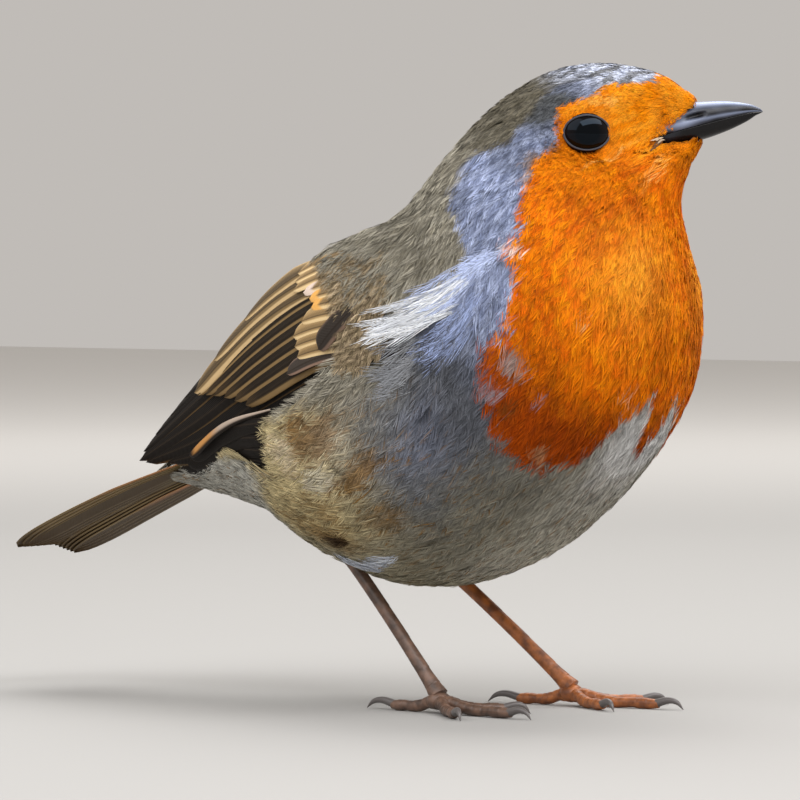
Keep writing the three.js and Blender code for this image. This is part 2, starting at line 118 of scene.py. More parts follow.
def narrowed(x, y, z, share):
    """How far a point of the face may lie from the mid-plane, as it narrows to the bill."""
    ahead = smooth((x - FACE_BETWEEN[0]) / (FACE_BETWEEN[1] - FACE_BETWEEN[0]))
    behind = 40 * (1 - smooth((share - FACE_FROM) / (FACE_TO - FACE_FROM)))
    reach = FACE_REACH[0] + (FACE_REACH[1] - FACE_REACH[0]) * ahead
    reach = reach + CHIN_WIDENS * np.maximum(0, CHIN_TOP - z) + behind
    return y / (1 + (np.abs(y) / reach) ** FACE_SHARPNESS) ** (1 / FACE_SHARPNESS)


def body_point(share, angle):
    """A point of the form: share runs from tail to bill, and angle from the back round the left side."""
    back, belly, wide = back_line(share), belly_line(share), girth(share)
    down = np.cos(angle) - wide[..., 1] * np.sin(angle) ** 2
    middle, rise = (back + belly) / 2, (back - belly) / 2
    x = middle[..., 0] + rise[..., 0] * down
    z = middle[..., 1] + rise[..., 1] * down
    points = np.stack([x, narrowed(x, wide[..., 0] * np.sin(angle), z, share), z], -1)
    return about_neck(points, smooth((share - TURN_FROM) / (TURN_TO - TURN_FROM)))


# The form's origin in the frame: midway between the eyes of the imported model.
eye_boxes = [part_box("eye_right"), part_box("eye_left")]
eyes_middle = np.array(sum((low + high for low, high in eye_boxes), Vector())) / 4 / MM
ORIGIN = eyes_middle - about_neck(EYE_AT * [1, 0, 1], 1.0)

# The form as a fine net, with its slopes and outward normals, which the skin and the feathers look up.
FORM_ROWS, FORM_COLUMNS = 800, 720
net_share, net_angle = np.meshgrid(
    np.linspace(0, 1, FORM_ROWS), np.linspace(-math.pi, math.pi, FORM_COLUMNS + 1), indexing="ij"
)
net_point = body_point(net_share, net_angle)
net_ahead = np.gradient(net_point, axis=0) * (FORM_ROWS - 1)
net_round = np.gradient(net_point, axis=1) * FORM_COLUMNS / (2 * math.pi)
edge_slope = (net_point[:, 1] - net_point[:, 0] + net_point[:, -1] - net_point[:, -2]) / 2
net_round[:, 0] = net_round[:, -1] = edge_slope * FORM_COLUMNS / (2 * math.pi)
net_normal = unit(np.cross(net_ahead, net_round))


def look_up(net, share, angle):
    """A net's value at any place, straight between its knots."""
    row = np.clip(share, 0, 1) * (FORM_ROWS - 1)
    column = (np.asarray(angle) / (2 * math.pi) + 0.5) % 1 * FORM_COLUMNS
    i = np.minimum(row.astype(int), FORM_ROWS - 2)
    j = np.minimum(column.astype(int), FORM_COLUMNS - 1)
    u, v = row - i, column - j
    if net.ndim == 3:
        u, v = u[..., None], v[..., None]
    near = net[i, j] * (1 - v) + net[i, j + 1] * v
    far = net[i + 1, j] * (1 - v) + net[i + 1, j + 1] * v
    return near * (1 - u) + far * u


def on_form(share, angle, height):
    """Points over the form by a height, and carried straight on past its two ends."""
    past = share - np.clip(share, 0, 1)
    points = look_up(net_point, share, angle) + look_up(net_normal, share, angle) * height[..., None]
    return points + look_up(net_ahead, share, angle) * past[..., None]


# ---------------------------------------------------------------- folded wings' blade
# Each folded wing lies on a curved blade along the body's side, from the wrist to the wing's tip. The body's
# feathers cover its front and its edges, so where it lies is worked out before they are laid.
WING_LOWER = [
    (13, 20.8, 51), (0, 23.0, 48.5), (-14, 21.2, 46.5),
    (-28, 15.6, 42.0), (-43, 9.8, 36.6), (-59.5, 4.8, 33.4),
]
WING_UPPER = [
    (8, 17.4, 66.5), (-6, 16.0, 67.5), (-18, 12.2, 65.2),
    (-31.2, 8.8, 59.4), (-45.6, 6.2, 48.2), (-60, 4.2, 35.4),
]
WING_BULGE = 2.2  # how far the blade bows outwards between its edges
WING_FACE = 2.5  # how far the coverts' outer face stands over the blade
lower_edge, upper_edge = through(WING_LOWER), through(WING_UPPER)


def wing_point(side, along, across, lift):
    """A point over the blade of the wing on one side, -1 for the right and 1 for the left."""
    along, across, lift = np.broadcast_arrays(along, across, lift)
    low, high = lower_edge(along), upper_edge(along)
    span = high - low
    out = unit(np.cross(lower_edge(along + 0.02) - lower_edge(along - 0.02), span))
    out = out * np.sign(out[..., 1:2])
    bulge = WING_BULGE * np.minimum(1, np.linalg.norm(span, axis=-1) / 15) * 4 * across * (1 - across)
    points = low + span * across[..., None] + out * (bulge + lift)[..., None]
    return points * [1, side, 1]


# Where the blade lies over the form: the nearest place of the left wing's outer face to each knot of a net.
face_along, face_across = np.meshgrid(np.linspace(0, 1, 150), np.linspace(-0.02, 1.02, 60), indexing="ij")
face_point = wing_point(1, face_along, face_across, WING_FACE).reshape(-1, 3)
face_tree = kdtree.KDTree(len(face_point))
for place, point in enumerate(face_point):
    face_tree.insert(point, place)
face_tree.balance()
left_half = slice(FORM_COLUMNS // 2, FORM_COLUMNS + 1)
coarse_rows, coarse_columns = np.arange(0, FORM_ROWS, 5), np.arange(0, FORM_COLUMNS // 2 + 1, 4)
coarse = net_point[:, left_half][np.ix_(coarse_rows, coarse_columns)]
coarse_normal = net_normal[:, left_half][np.ix_(coarse_rows, coarse_columns)]
over = np.zeros(coarse.shape[:2])
for _ in range(3):
    raised = coarse + coarse_normal * over[..., None]
    found = np.array([[face_tree.find(p)[1] for p in row] for row in raised])
    offset = face_point[found] - coarse
    over = np.clip((offset * coarse_normal).sum(-1), -6, 6)
beside = np.linalg.norm(offset - coarse_normal * over[..., None], axis=-1)


def spread_net(values):
    """A coarse net of the left side as a fine one of both sides."""
    rows = np.interp(np.arange(FORM_ROWS), coarse_rows, np.arange(len(coarse_rows)))
    columns = np.interp(np.arange(FORM_COLUMNS // 2 + 1), coarse_columns, np.arange(len(coarse_columns)))
    i = np.minimum(rows.astype(int), len(coarse_rows) - 2)
    j = np.minimum(columns.astype(int), len(coarse_columns) - 2)
    u, v = (rows - i)[:, None], (columns - j)[None, :]
    pick = lambda a, b: values[np.ix_(i + a, j + b)]
    half = (pick(0, 0) * (1 - v) + pick(0, 1) * v) * (1 - u) + (pick(1, 0) * (1 - v) + pick(1, 1) * v) * u
    return np.concatenate([half[:, :0:-1], half], axis=1)


wing_over = spread_net(over)
wing_beside = spread_net(beside)
wing_along = spread_net(face_along.ravel()[found])
wing_across = spread_net(face_across.ravel()[found])

# The coat's outer face stands over the form where it covers the wing, and the skin gives way under the wing.
UNDER_WING = 3.4  # from the coverts' outer face down to the skin
over_front = 1 - smooth((wing_along - 0.45) / 0.15)
coat_lift = np.clip(wing_over + 0.25, 0, None) * (1 - smooth(wing_beside / 5)) * over_front
skin_room = np.where(wing_beside < 0.6, wing_over - UNDER_WING, 9)

# ---------------------------------------------------------------- markings
# The bird's colours by place on the body, which the skin and every feather of the coat share: an orange face,
# throat and breast, a blue-grey band beside it, an olive-brown upper side, and a pale belly.
ORANGE, BRIGHT_ORANGE, DEEP_ORANGE_AND_SHADE, YELLOW_ORANGE = (230, 104, 0), (250, 146, 0), (160, 60, 0), (255, 186, 60)
BLUE_GREY, PALE_BLUE, SLATE = (130, 141, 174), (190, 200, 228), (72, 76, 86)
OLIVE, PALE_OLIVE, DARK_OLIVE = (138, 132, 116), (184, 178, 163), (82, 75, 60)
FLANK_BUFF, FLANK_BROWN, ASH = (204, 187, 142), (134, 96, 38), (120, 120, 116)
BELLY_WHITE, BELLY_GREY_AND_SHADE, VENT, WHITE = (200, 196, 182), (158, 153, 135), (186, 184, 174), (240, 240, 240)
EAR_SLATE, HEEL_DARK = (82, 83, 82), (44, 31, 22)
CREAM, SIDE_GREY = (255, 212, 118), (100, 101, 103)
CROWN_GREY, PAINTED_CROWN_HIGHLIGHT = (118, 120, 126), (204, 210, 228)

# Edges of the orange: the angle from the back where it begins, by share of the body's length, and the share
# where it ends on the breast, by angle.
ORANGE_EDGE = [
    (0.38, 126), (0.402, 121), (0.407, 115), (0.416, 111), (0.425, 109), (0.458, 108), (0.481, 106),
    (0.495, 104), (0.504, 101), (0.515, 95), (0.534, 95), (0.556, 91), (0.570, 86), (0.595, 83),
    (0.637, 81), (0.653, 79), (0.678, 72), (0.697, 65), (0.737, 63), (0.776, 61), (0.80, 61),
    (0.833, 58), (0.850, 53), (0.862, 40), (0.870, 20), (0.876, 0),
]
ORANGE_END = [
    (100, 0.41), (115, 0.400), (124, 0.398), (140, 0.392), (148, 0.400), (157, 0.414), (160, 0.43),
    (163, 0.447), (170, 0.462), (173, 0.470), (175, 0.445), (178, 0.425), (180, 0.418),
]
# The olive upper side's lower edge, where the blue-grey begins, and where the flank begins below the back.
OLIVE_EDGE = [
    (0.30, 78), (0.34, 66), (0.39, 76), (0.433, 82), (0.48, 84), (0.495, 74), (0.505, 57),
    (0.543, 50), (0.588, 52), (0.617, 56), (0.65, 55), (0.70, 42), (0.76, 40), (0.80, 38),
]
FLANK_EDGE = [(0.0, 62), (0.1, 70), (0.2, 74), (0.28, 74), (0.32, 78), (0.36, 84)]

# Brown patches in the buff of the flanks: place, reach and strength.
FLANK_PATCHES = [
    ((0.268, 87), (0.036, 8.0), 0.95), ((0.298, 105), (0.034, 5.0), 0.8), ((0.25, 112), (0.020, 5.0), 0.5),
    ((0.225, 123), (0.030, 6.0), 0.5), ((0.30, 124), (0.018, 5.0), 0.5), ((0.24, 99), (0.012, 3.0), 0.4),
]
# Cream spots in the flanks: place, reach, colour and strength.
FLANK_SPOTS = [
    ((0.226, 92), (0.018, 7), (226, 208, 176), 0.8), ((0.262, 102), (0.022, 4), (206, 202, 186), 0.6),
]
# Small paler and darker patches on and beside the orange: place, reach, colour and strength.
BREAST_SPOTS = [
    ((0.444, 117), (0.010, 5.0), (150, 148, 146), 0.8), ((0.417, 116), (0.008, 3.5), (150, 150, 160), 0.8),
    ((0.432, 128), (0.005, 2.0), (150, 148, 160), 0.6), ((0.405, 142), (0.004, 3.0), (190, 150, 110), 0.6),
    ((0.465, 160), (0.004, 2.0), (214, 178, 140), 0.8), ((0.502, 134), (0.008, 1.5), (236, 176, 110), 0.8),
    ((0.415, 125), (0.006, 4.0), (104, 66, 24), 0.6), ((0.620, 80), (0.020, 5.0), (140, 112, 86), 0.7),
    ((0.596, 82), (0.012, 3.5), (190, 146, 110), 0.6), ((0.655, 78), (0.012, 4.0), (112, 92, 70), 0.6),
    ((0.520, 99), (0.006, 2.4), (240, 226, 220), 0.7), ((0.518, 95), (0.006, 2.4), (224, 226, 240), 0.6),
    ((0.738, 69), (0.012, 6.0), (255, 186, 80), 0.6), ((0.753, 76), (0.010, 5.0), (255, 190, 90), 0.5),
    ((0.790, 118), (0.030, 4.0), (196, 96, 20), 0.5), ((0.735, 122), (0.012, 3.0), (176, 84, 20), 0.6),
    ((0.713, 133), (0.016, 2.2), (255, 200, 104), 0.5), ((0.701, 143), (0.020, 2.2), (255, 194, 96), 0.45),
]


def linear(colour):
    """A named colour, as the renderer's own linear values."""
    c = np.asarray(colour, float) / 255
    return np.where(c <= 0.04045, c / 12.92, ((c + 0.055) / 1.055) ** 2.4)


def along_list(pairs, x):
    at, value = zip(*pairs)
    return np.interp(x, at, value)


def cloud(points, size, seed):
    """Soft random patches of a size in millimetres, from -1 to 1."""
    draw = np.random.default_rng(seed)
    total = 0
    for _ in range(5):
        wave = draw.normal(size=3) / size
        total = total + np.sin(points @ wave * 2.2 + draw.uniform(0, 6.28))
    return np.clip(total / 2.6, -1, 1)


def mix(colour, other, amount):
    amount = np.asarray(amount)[..., None]
    return colour * (1 - amount) + linear(other) * amount


def spot(share, degrees, at, size):
    """A soft round spot, with its middle and its reach given as a share and an angle."""
    return np.exp(-(((share - at[0]) / size[0]) ** 2 + ((degrees - at[1]) / size[1]) ** 2))


def markings(share, angle):
    """The plumage's colour at places on the form."""
    points = on_form(share, angle, np.zeros_like(share))
    wander = cloud(points, 2.2, 1)
    degrees = np.abs(np.degrees((angle + math.pi) % (2 * math.pi) - math.pi))
    a = degrees + 2.2 * wander + 1.2 * cloud(points, 0.8, 2)
    s = share + 0.004 * cloud(points, 1.6, 3)
    fine, broad = cloud(points, 1.1, 4), cloud(points, 5.5, 5)
    rough = 2.0 * cloud(points, 0.35, 6)

    # upper side: olive-brown, greyer on the crown, with darker and paler streaks, and on top of the crown a
    # painted pale blue-white highlight in streaks, as where light falls from above
    colour = mix(np.broadcast_to(linear(OLIVE), points.shape), PALE_OLIVE, 0.3 + 0.3 * fine)
    colour = mix(colour, DARK_OLIVE, 0.25 * smooth(broad) + 0.2 * smooth(-fine))
    colour = mix(colour, DARK_OLIVE, 0.7 * smooth((s - 0.52) / 0.08) * (1 - smooth((s - 0.72) / 0.05)))
    colour = mix(colour, CROWN_GREY, 0.85 * smooth((s - 0.69) / 0.05))
    # painted highlight: the top of the crown turns pale blue-white in streaks, as if lit from above
    crown_highlight = smooth((s - 0.70) / 0.06) * smooth((a + 6) / 22)
    colour = mix(colour, PAINTED_CROWN_HIGHLIGHT, crown_highlight * smooth(0.5 + 0.7 * fine))

    # under side: buff flanks with brown patches, an ash-grey side, and a pale belly and vent
    under = mix(np.broadcast_to(linear(ASH), points.shape), FLANK_BUFF, smooth((0.335 - s) / 0.08))
    # the lower sides and underside turn grey: partly their own grey and partly painted shade under the body
    under = mix(under, BELLY_GREY_AND_SHADE, 0.8 * smooth((a - 118) / 26))
    under = mix(under, BELLY_WHITE, 0.85 * smooth((a - 146) / 24) * smooth((s - 0.27) / 0.06))
    under = mix(under, VENT, smooth((0.19 - s) / 0.04) * smooth((a - 92) / 14))
    under = mix(under, BLUE_GREY, 0.55 * spot(s, a, (0.375, 108), (0.05, 14)))
    for middle, reach, amount in FLANK_PATCHES:
        ragged = 2.0 * spot(s, a, middle, reach) - 0.4 + 0.3 * rough + 0.4 * fine
        under = mix(under, FLANK_BROWN, amount * smooth(ragged))
    for at, size, shade, amount in FLANK_SPOTS:
        under = mix(under, shade, amount * smooth(2.0 * spot(s, a, at, size) - 0.5 + 0.3 * rough))
    under = mix(under, PALE_OLIVE, 0.35 * spot(s, a, (0.30, 90), (0.05, 12)))
    shadow = 0.35 * smooth(-fine * 1.2) * smooth((s - 0.28) / 0.05) * (1 - smooth((a - 140) / 20))
    under = mix(under, SLATE, shadow)
    side = smooth((a - along_list(FLANK_EDGE, s)) / 8)
    colour = colour * (1 - side[..., None]) + under * side[..., None]

    # the blue-grey band from behind the eye, down the neck and over the side of the breast
    in_band = smooth((a - along_list(OLIVE_EDGE, s)) / 7)
    in_band = in_band * smooth((s - 0.345) / 0.05) * (1 - smooth((s - 0.72) / 0.06))
    band = mix(np.broadcast_to(linear(BLUE_GREY), points.shape), PALE_BLUE, 0.35 + 0.35 * fine)
    band = mix(band, SLATE, 0.35 * smooth(-broad) + 0.25 * smooth(-fine))
    band = mix(band, EAR_SLATE, 0.95 * np.minimum(1, 1.6 * spot(s, a, (0.688, 58), (0.038, 13))))
    band = mix(band, SIDE_GREY, 0.92 * smooth((0.455 - s) / 0.06))
    band = mix(band, SLATE, 0.3 * smooth((0.46 - s) / 0.05))
    in_band = in_band * (1 - 0.8 * smooth((a - 116) / 10))
    colour = colour * (1 - in_band[..., None]) + band * in_band[..., None]

    # the orange of the face, throat and breast, with a white wedge below it on the mid-line
    warm = mix(np.broadcast_to(linear(ORANGE), points.shape), BRIGHT_ORANGE, 0.45 + 0.4 * fine)
    warm = mix(warm, BRIGHT_ORANGE, 0.85 * smooth((s - 0.69) / 0.05))
    yellower = 0.55 * smooth((s - 0.67) / 0.06) * smooth((135 - a) / 20) * smooth(0.7 + fine)
    warm = mix(warm, YELLOW_ORANGE, yellower)
    warm = mix(warm, YELLOW_ORANGE, 0.45 * spot(s, a, (0.56, 150), (0.05, 22)))
    warm = mix(warm, BRIGHT_ORANGE, 0.5 * smooth((s - 0.58) / 0.05) * smooth((130 - a) / 20))
    deeper = 0.3 * smooth(broad * 1.3 - 0.1) + 0.3 * spot(s, a, (0.615, 120), (0.025, 30))
    warm = mix(warm, DEEP_ORANGE_AND_SHADE, deeper)
    # the lower edge of the breast turns deep orange: partly its own deeper colour and partly painted shade
    # beneath the breast
    warm = mix(warm, DEEP_ORANGE_AND_SHADE, 0.9 * smooth((0.47 - s) / 0.05))
    under_eye = spot(s - 0.0055 * (a - 105), a, (0.679, 105), (0.007, 4.5))
    warm = mix(warm, CREAM, 0.65 * under_eye * smooth(0.7 + rough))
    warm = mix(warm, CREAM, 0.55 * spot(s, a, (0.70, 138), (0.030, 3.0)) * smooth(0.5 + rough))
    in_orange = smooth((a + rough - along_list(ORANGE_EDGE, s)) / 1.4 + 0.5)
    in_orange = in_orange * smooth((s + 0.002 * rough - along_list(ORANGE_END, degrees)) / 0.004 + 0.5)
    wedge = 0.9 * smooth((degrees - 158) / 10) * spot(s, degrees, (0.43, 180), (0.028, 30))
    colour = mix(colour, WHITE, wedge)
    colour = colour * (1 - in_orange[..., None]) + warm * in_orange[..., None]
    for at, size, shade, amount in BREAST_SPOTS:
        colour = mix(colour, shade, amount * smooth(2.2 * spot(s, a, at, size) - 0.7 + 0.35 * rough))
    at_heel = spot(s, degrees, (0.246, 129), (0.017, 6))
    colour = mix(colour, FLANK_BROWN, 0.9 * at_heel)
    colour = mix(colour, HEEL_DARK, 0.9 * smooth(1.8 * at_heel - 0.6))
    return colour


# ---------------------------------------------------------------- skin
# One skin over the trunk, neck, head and thighs. It is thin and dark, lies under the feathers by the coat's
# depth, forms a shallow dish round each eye, and ends in a finely beaded lid that grips the eyeball.
COAT_DEPTH = [
    (0, 1.5), (0.08, 2.2), (0.2, 2.8), (0.5, 2.8), (0.6, 2.1),
    (0.68, 1.2), (0.8, 1.0), (0.9, 0.6), (0.97, 0.4), (1, 0.3),
]
EYE_RADIUS = np.array([3.4, 2.35, 3.1])  # forwards, outwards and upwards
EYE_FORWARD = math.radians(12)  # how far the eyes look forward of straight sideways
DISH_FROM, DISH_TO = 3.2, 8.2  # from the eye's axis, where the dish is deepest and where it ends
DISH_LEVEL = 1.05  # how far out from the eyeball's middle the feathers beside the lid may reach
LID_REACH, LID_OVAL, LID_ROUND, LID_BEADS = 3.24, 0.755, 0.17, 40
LID_PROUD = 0.10  # how far the lid's own middle line stands off the eyeball


def eye_place(side):
    """The eye's middle and its outward, forward and upward directions in the turned head."""
    out = np.array([math.sin(EYE_FORWARD), side * math.cos(EYE_FORWARD), 0.0])
    ahead = np.array([math.cos(EYE_FORWARD), -side * math.sin(EYE_FORWARD), 0.0])
    turn = Matrix.Rotation(HEAD_TURN, 3, "Z")
    directions = [np.array(turn @ Vector(v)) for v in (out, ahead, (0, 0, 1))]
    return about_neck(EYE_AT * [1, side, 1], 1.0), *directions


def from_eye(points, side):
    """How far points lie from the eye's axis, by the lids' oval, and how far out along it."""
    middle, out, ahead, up = eye_place(side)
    offset = points - middle
    return np.hypot(offset @ ahead, offset @ up / LID_OVAL), offset @ out


eye_ring = np.full(net_share.shape, 99.0)
dish = np.zeros(net_share.shape)
for side in (-1, 1):
    sunk = np.zeros(net_share.shape)
    for _ in range(8):
        reach, depth = from_eye(net_point - net_normal * sunk[..., None], side)
        near = np.where(depth > -3, 1 - smooth((reach - DISH_FROM) / (DISH_TO - DISH_FROM)), 0)
        sunk = np.clip(sunk + depth - DISH_LEVEL, 0, 4.5) * near
    eye_ring = np.minimum(eye_ring, np.where(depth > -3, reach, 99.0))
    dish = np.maximum(dish, sunk)


# The bill's root is bare in front of a slanting line from the gape up to the forehead, and down to the chin.
# How far back the bare part reaches at each height, and how low at each place, both in the straight head.
BARE_BACK = [(80.7, 20.4), (81.2, 21.2), (82.1, 22.6), (83.1, 25.0), (83.8, 26.5), (84.9, 27.1), (86.6, 29.2)]
BARE_LOW = [(20.4, 81.2), (22.6, 81.8), (24.0, 81.7), (25.4, 81.1), (30.2, 81.3)]
in_head = about_neck(net_point, -1.0)
past_feathers = in_head[..., 0] - along_list(BARE_BACK, in_head[..., 2])
over_chin = in_head[..., 2] - along_list(BARE_LOW, in_head[..., 0])
bill_bare = np.where(net_share > 0.7, np.minimum(past_feathers, over_chin * 2), -9)
bill_sink = smooth(bill_bare / 1.6 + 0.3) * (0.25 + 1.25 * smooth((in_head[..., 0] - 23.4) / 1.6))


def coat_depth(share, angle):
    near_eye = 1 - 0.55 * (1 - smooth((look_up(eye_ring, share, angle) - 3.2) / 3))
    return along_list(COAT_DEPTH, share) * near_eye


def link(piece, *slots):
    """Puts a finished mesh in the scene, riding on the bird's one body."""
    bpy.context.scene.collection.objects.link(piece)
    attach(piece, "root")
    return piece


def finished(name, bm, material, slot):
    """A piece from a bmesh in millimetres."""
    bmesh.ops.transform(bm, matrix=Matrix.Translation(ORIGIN * MM) @ Matrix.Scale(MM, 4), verts=bm.verts)
    mesh = bpy.data.meshes.new(name)
    for face in bm.faces:
        face.smooth = True
    bm.to_mesh(mesh)
    bm.free()
    mesh.materials.append(material)
    return link(bpy.data.objects.new(name, mesh), slot)


def places(bm):
    return np.array([v.co for v in bm.verts]).reshape(-1, 3)


def put(bm, points):
    for vertex, point in zip(bm.verts, points):
        vertex.co = point


def feathered(name, roughness):
    """A matt material that takes its colour from the piece's own plumage colours."""
    material = bpy.data.materials.new(name)
    material.use_nodes = True
    nodes, links = material.node_tree.nodes, material.node_tree.links
    shader = nodes["Principled BSDF"]
    shader.inputs["Roughness"].default_value = roughness
    shader.inputs["Specular IOR Level"].default_value = 0.1
    colour = nodes.new("ShaderNodeAttribute")
    colour.attribute_name = "plumage"
    links.new(colour.outputs["Color"], shader.inputs["Base Color"])
    return material


def paint(mesh, colours):
    """Stores a colour for each corner point of a mesh."""
    layer = mesh.color_attributes.new("plumage", "FLOAT_COLOR", "POINT")
    values = np.ones((len(mesh.vertices), 4), np.float32)
    values[:, :3] = np.clip(colours, 0, 1)
    layer.data.foreach_set("color", values.ravel())


def corner_vertices(mesh):
    """The vertex at each face corner of a mesh."""
    found = np.zeros(len(mesh.loops), np.int32)
    mesh.loops.foreach_get("vertex_index", found)
    return found


SKIN_DARKER = 0.72
BODY_UNWRAP = 0.86  # the share of the unwrap that the body fills, beside the thighs and the lids
PAST_BODY, LIDS_ABOVE = 1.005, 0.65  # where in the unwrap the thighs begin, and the lids over them
LID_GREY, THIGH_GREY, GAPE_SKIN, BILL_ROOT = (74, 74, 80), (150, 146, 136), (178, 166, 156), (26, 25, 28)
skin = bmesh.new()
bmesh.ops.create_grid(skin, x_segments=220, y_segments=180, size=1)
flat = places(skin)
skin_share, skin_angle = (flat[:, 0] + 1) / 2, flat[:, 1] * math.pi
skin_height = -coat_depth(skin_share, skin_angle) - look_up(dish + bill_sink, skin_share, skin_angle)
skin_height = np.minimum(skin_height, look_up(skin_room, skin_share, skin_angle))
put(skin, on_form(skin_share, skin_angle, skin_height))
unwrap = skin.loops.layers.uv.new("OFBake")
flat_place = {v.index: p for v, p in zip(skin.verts, flat)}
for face in skin.faces:
    for corner in face.loops:
        x, y, _ = flat_place[corner.vert.index]
        corner[unwrap].uv = ((x + 1) / 2 * BODY_UNWRAP, (y + 1) / 2)
bmesh.ops.remove_doubles(skin, verts=skin.verts, dist=1e-3)
rims = [edge for edge in skin.edges if edge.is_boundary]
bmesh.ops.holes_fill(skin, edges=rims, sides=0)
THIGHS = {
    -1: [(-9, -9.5, 31), (-15.5, -9.6, 27.0), (-20.8, -9.2, 22.8)],
    1: [(-4, 9.5, 30), (-10.0, 9.4, 25.2), (-15.4, 8.8, 19.9)],
}
THIGH_RADIUS = [5.2, 3.4, 1.3]


def tube(bm, path, radius, rings, sides, shape=None):
    """Bends a flat grid round a path into a closed limb, and returns each new point's share and angle."""
    made = bmesh.ops.create_grid(bm, x_segments=rings, y_segments=sides, size=1)["verts"]
    flat = np.array([v.co for v in made])
    share, angle = (flat[:, 0] + 1) / 2, flat[:, 1] * math.pi
    curve, thick = through(path), through([[r] for r in radius])
    centre, reach = curve(share), thick(share)[:, 0]
    ahead = unit(curve(share + 0.02) - curve(share - 0.02))
    level = np.cross(ahead, [0, 0, 1.0])
    level = unit(np.where(np.linalg.norm(level, axis=1)[:, None] < 0.35, np.cross(ahead, [0, 1.0, 0]), level))
    top = np.cross(level, ahead)
    if shape:
        reach = reach * shape(share, angle)
    points = centre + top * (np.cos(angle) * reach)[:, None] + level * (np.sin(angle) * reach)[:, None]
    for vertex, point in zip(made, points):
        vertex.co = point
    return made, share, angle


for side, path in THIGHS.items():
    made, share, angle = tube(skin, path, THIGH_RADIUS, 24, 20)
    place = dict(zip(made, zip(share, angle)))
    left = BODY_UNWRAP + (0.01 if side < 0 else 0.07)
    for face in {f for v in made for f in v.link_faces}:
        for corner in face.loops:
            at, turn = place[corner.vert]
            corner[unwrap].uv = (left + 0.05 * at, 0.1 + 0.2 * (turn / math.pi + 1))
    bmesh.ops.remove_doubles(skin, verts=made, dist=1e-3)
rims = [edge for edge in skin.edges if edge.is_boundary]
bmesh.ops.holes_fill(skin, edges=rims, sides=0)

# the lids: a beaded ring round each eyeball, part of the same skin
for side in (-1, 1):
    middle, out, ahead, up = eye_place(side)
    ring = bmesh.ops.create_grid(skin, x_segments=136, y_segments=10, size=1)["verts"]
    flat = np.array([v.co for v in ring])
    turn, round_turn = flat[:, 0] * math.pi, flat[:, 1] * math.pi
    bead = 1 + 0.22 * np.abs(np.sin(turn * LID_BEADS / 2)) * np.cos(round_turn).clip(0)
    across, tall = LID_REACH * np.cos(turn), LID_REACH * LID_OVAL * np.sin(turn)
    globe = 1 - (across / EYE_RADIUS[0]) ** 2 - (tall / EYE_RADIUS[2]) ** 2
    height = EYE_RADIUS[1] * np.sqrt(np.clip(globe, 0, 1)) + LID_PROUD + LID_ROUND * bead * np.cos(round_turn)
    wider = 1 + LID_ROUND * bead * np.sin(round_turn) / LID_REACH
    points = middle + ahead * (across * wider)[:, None] + up * (tall * wider)[:, None]
    points = points + out * height[:, None]
    for vertex, point in zip(ring, points):
        vertex.co = point
    for face in {f for v in ring for f in v.link_faces}:
        for corner in face.loops:
            corner[unwrap].uv = (BODY_UNWRAP + (0.03 if side < 0 else 0.09), 0.7)
    bmesh.ops.remove_doubles(skin, verts=ring, dist=1e-3)
bmesh.ops.recalc_face_normals(skin, faces=skin.faces)
flesh = feathered("feathered_skin", 0.8)
skin_piece = finished("skin", skin, flesh, "plumage")
skin_uv = np.zeros(len(skin_piece.data.loops) * 2, np.float32)
skin_piece.data.uv_layers["OFBake"].data.foreach_get("uv", skin_uv)
vertex_uv = np.zeros((len(skin_piece.data.vertices), 2))
vertex_uv[corner_vertices(skin_piece.data)] = skin_uv.reshape(-1, 2)
skin_share = vertex_uv[:, 0] / BODY_UNWRAP
body_share, body_angle = np.minimum(skin_share, 1), (vertex_uv[:, 1] * 2 - 1) * math.pi
skin_colour = markings(body_share, body_angle) * SKIN_DARKER
at_gape = smooth(look_up(bill_bare, body_share, body_angle) / 0.3 + 1)
ahead_of_gape = look_up(in_head[..., 0], body_share, body_angle)
skin_colour = mix(skin_colour, GAPE_SKIN, at_gape)
skin_colour = mix(skin_colour, BILL_ROOT, at_gape * smooth((ahead_of_gape - 23.6) / 0.8))
skin_colour[skin_share > PAST_BODY] = linear(THIGH_GREY) * SKIN_DARKER
skin_colour[(skin_share > PAST_BODY) & (vertex_uv[:, 1] > LIDS_ABOVE)] = linear(LID_GREY)
paint(skin_piece.data, skin_colour)
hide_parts("trunk", "neck", "head", "thigh_right", "thigh_left")

# ---------------------------------------------------------------- contour feathers
# The coat: thousands of small soft feathers, each a fine shaft with loose barbs on both sides. They are
# rooted in the skin, rise to the outer form and lie back along it like shingles, shortest on the face.
BAKE_PATCH = 0.0015  # half the side of each feather's own patch of the unwrap
BARBS_FROM, TINY_BARBS_FROM = 0.28, 0.05  # where along the shaft the barbs begin


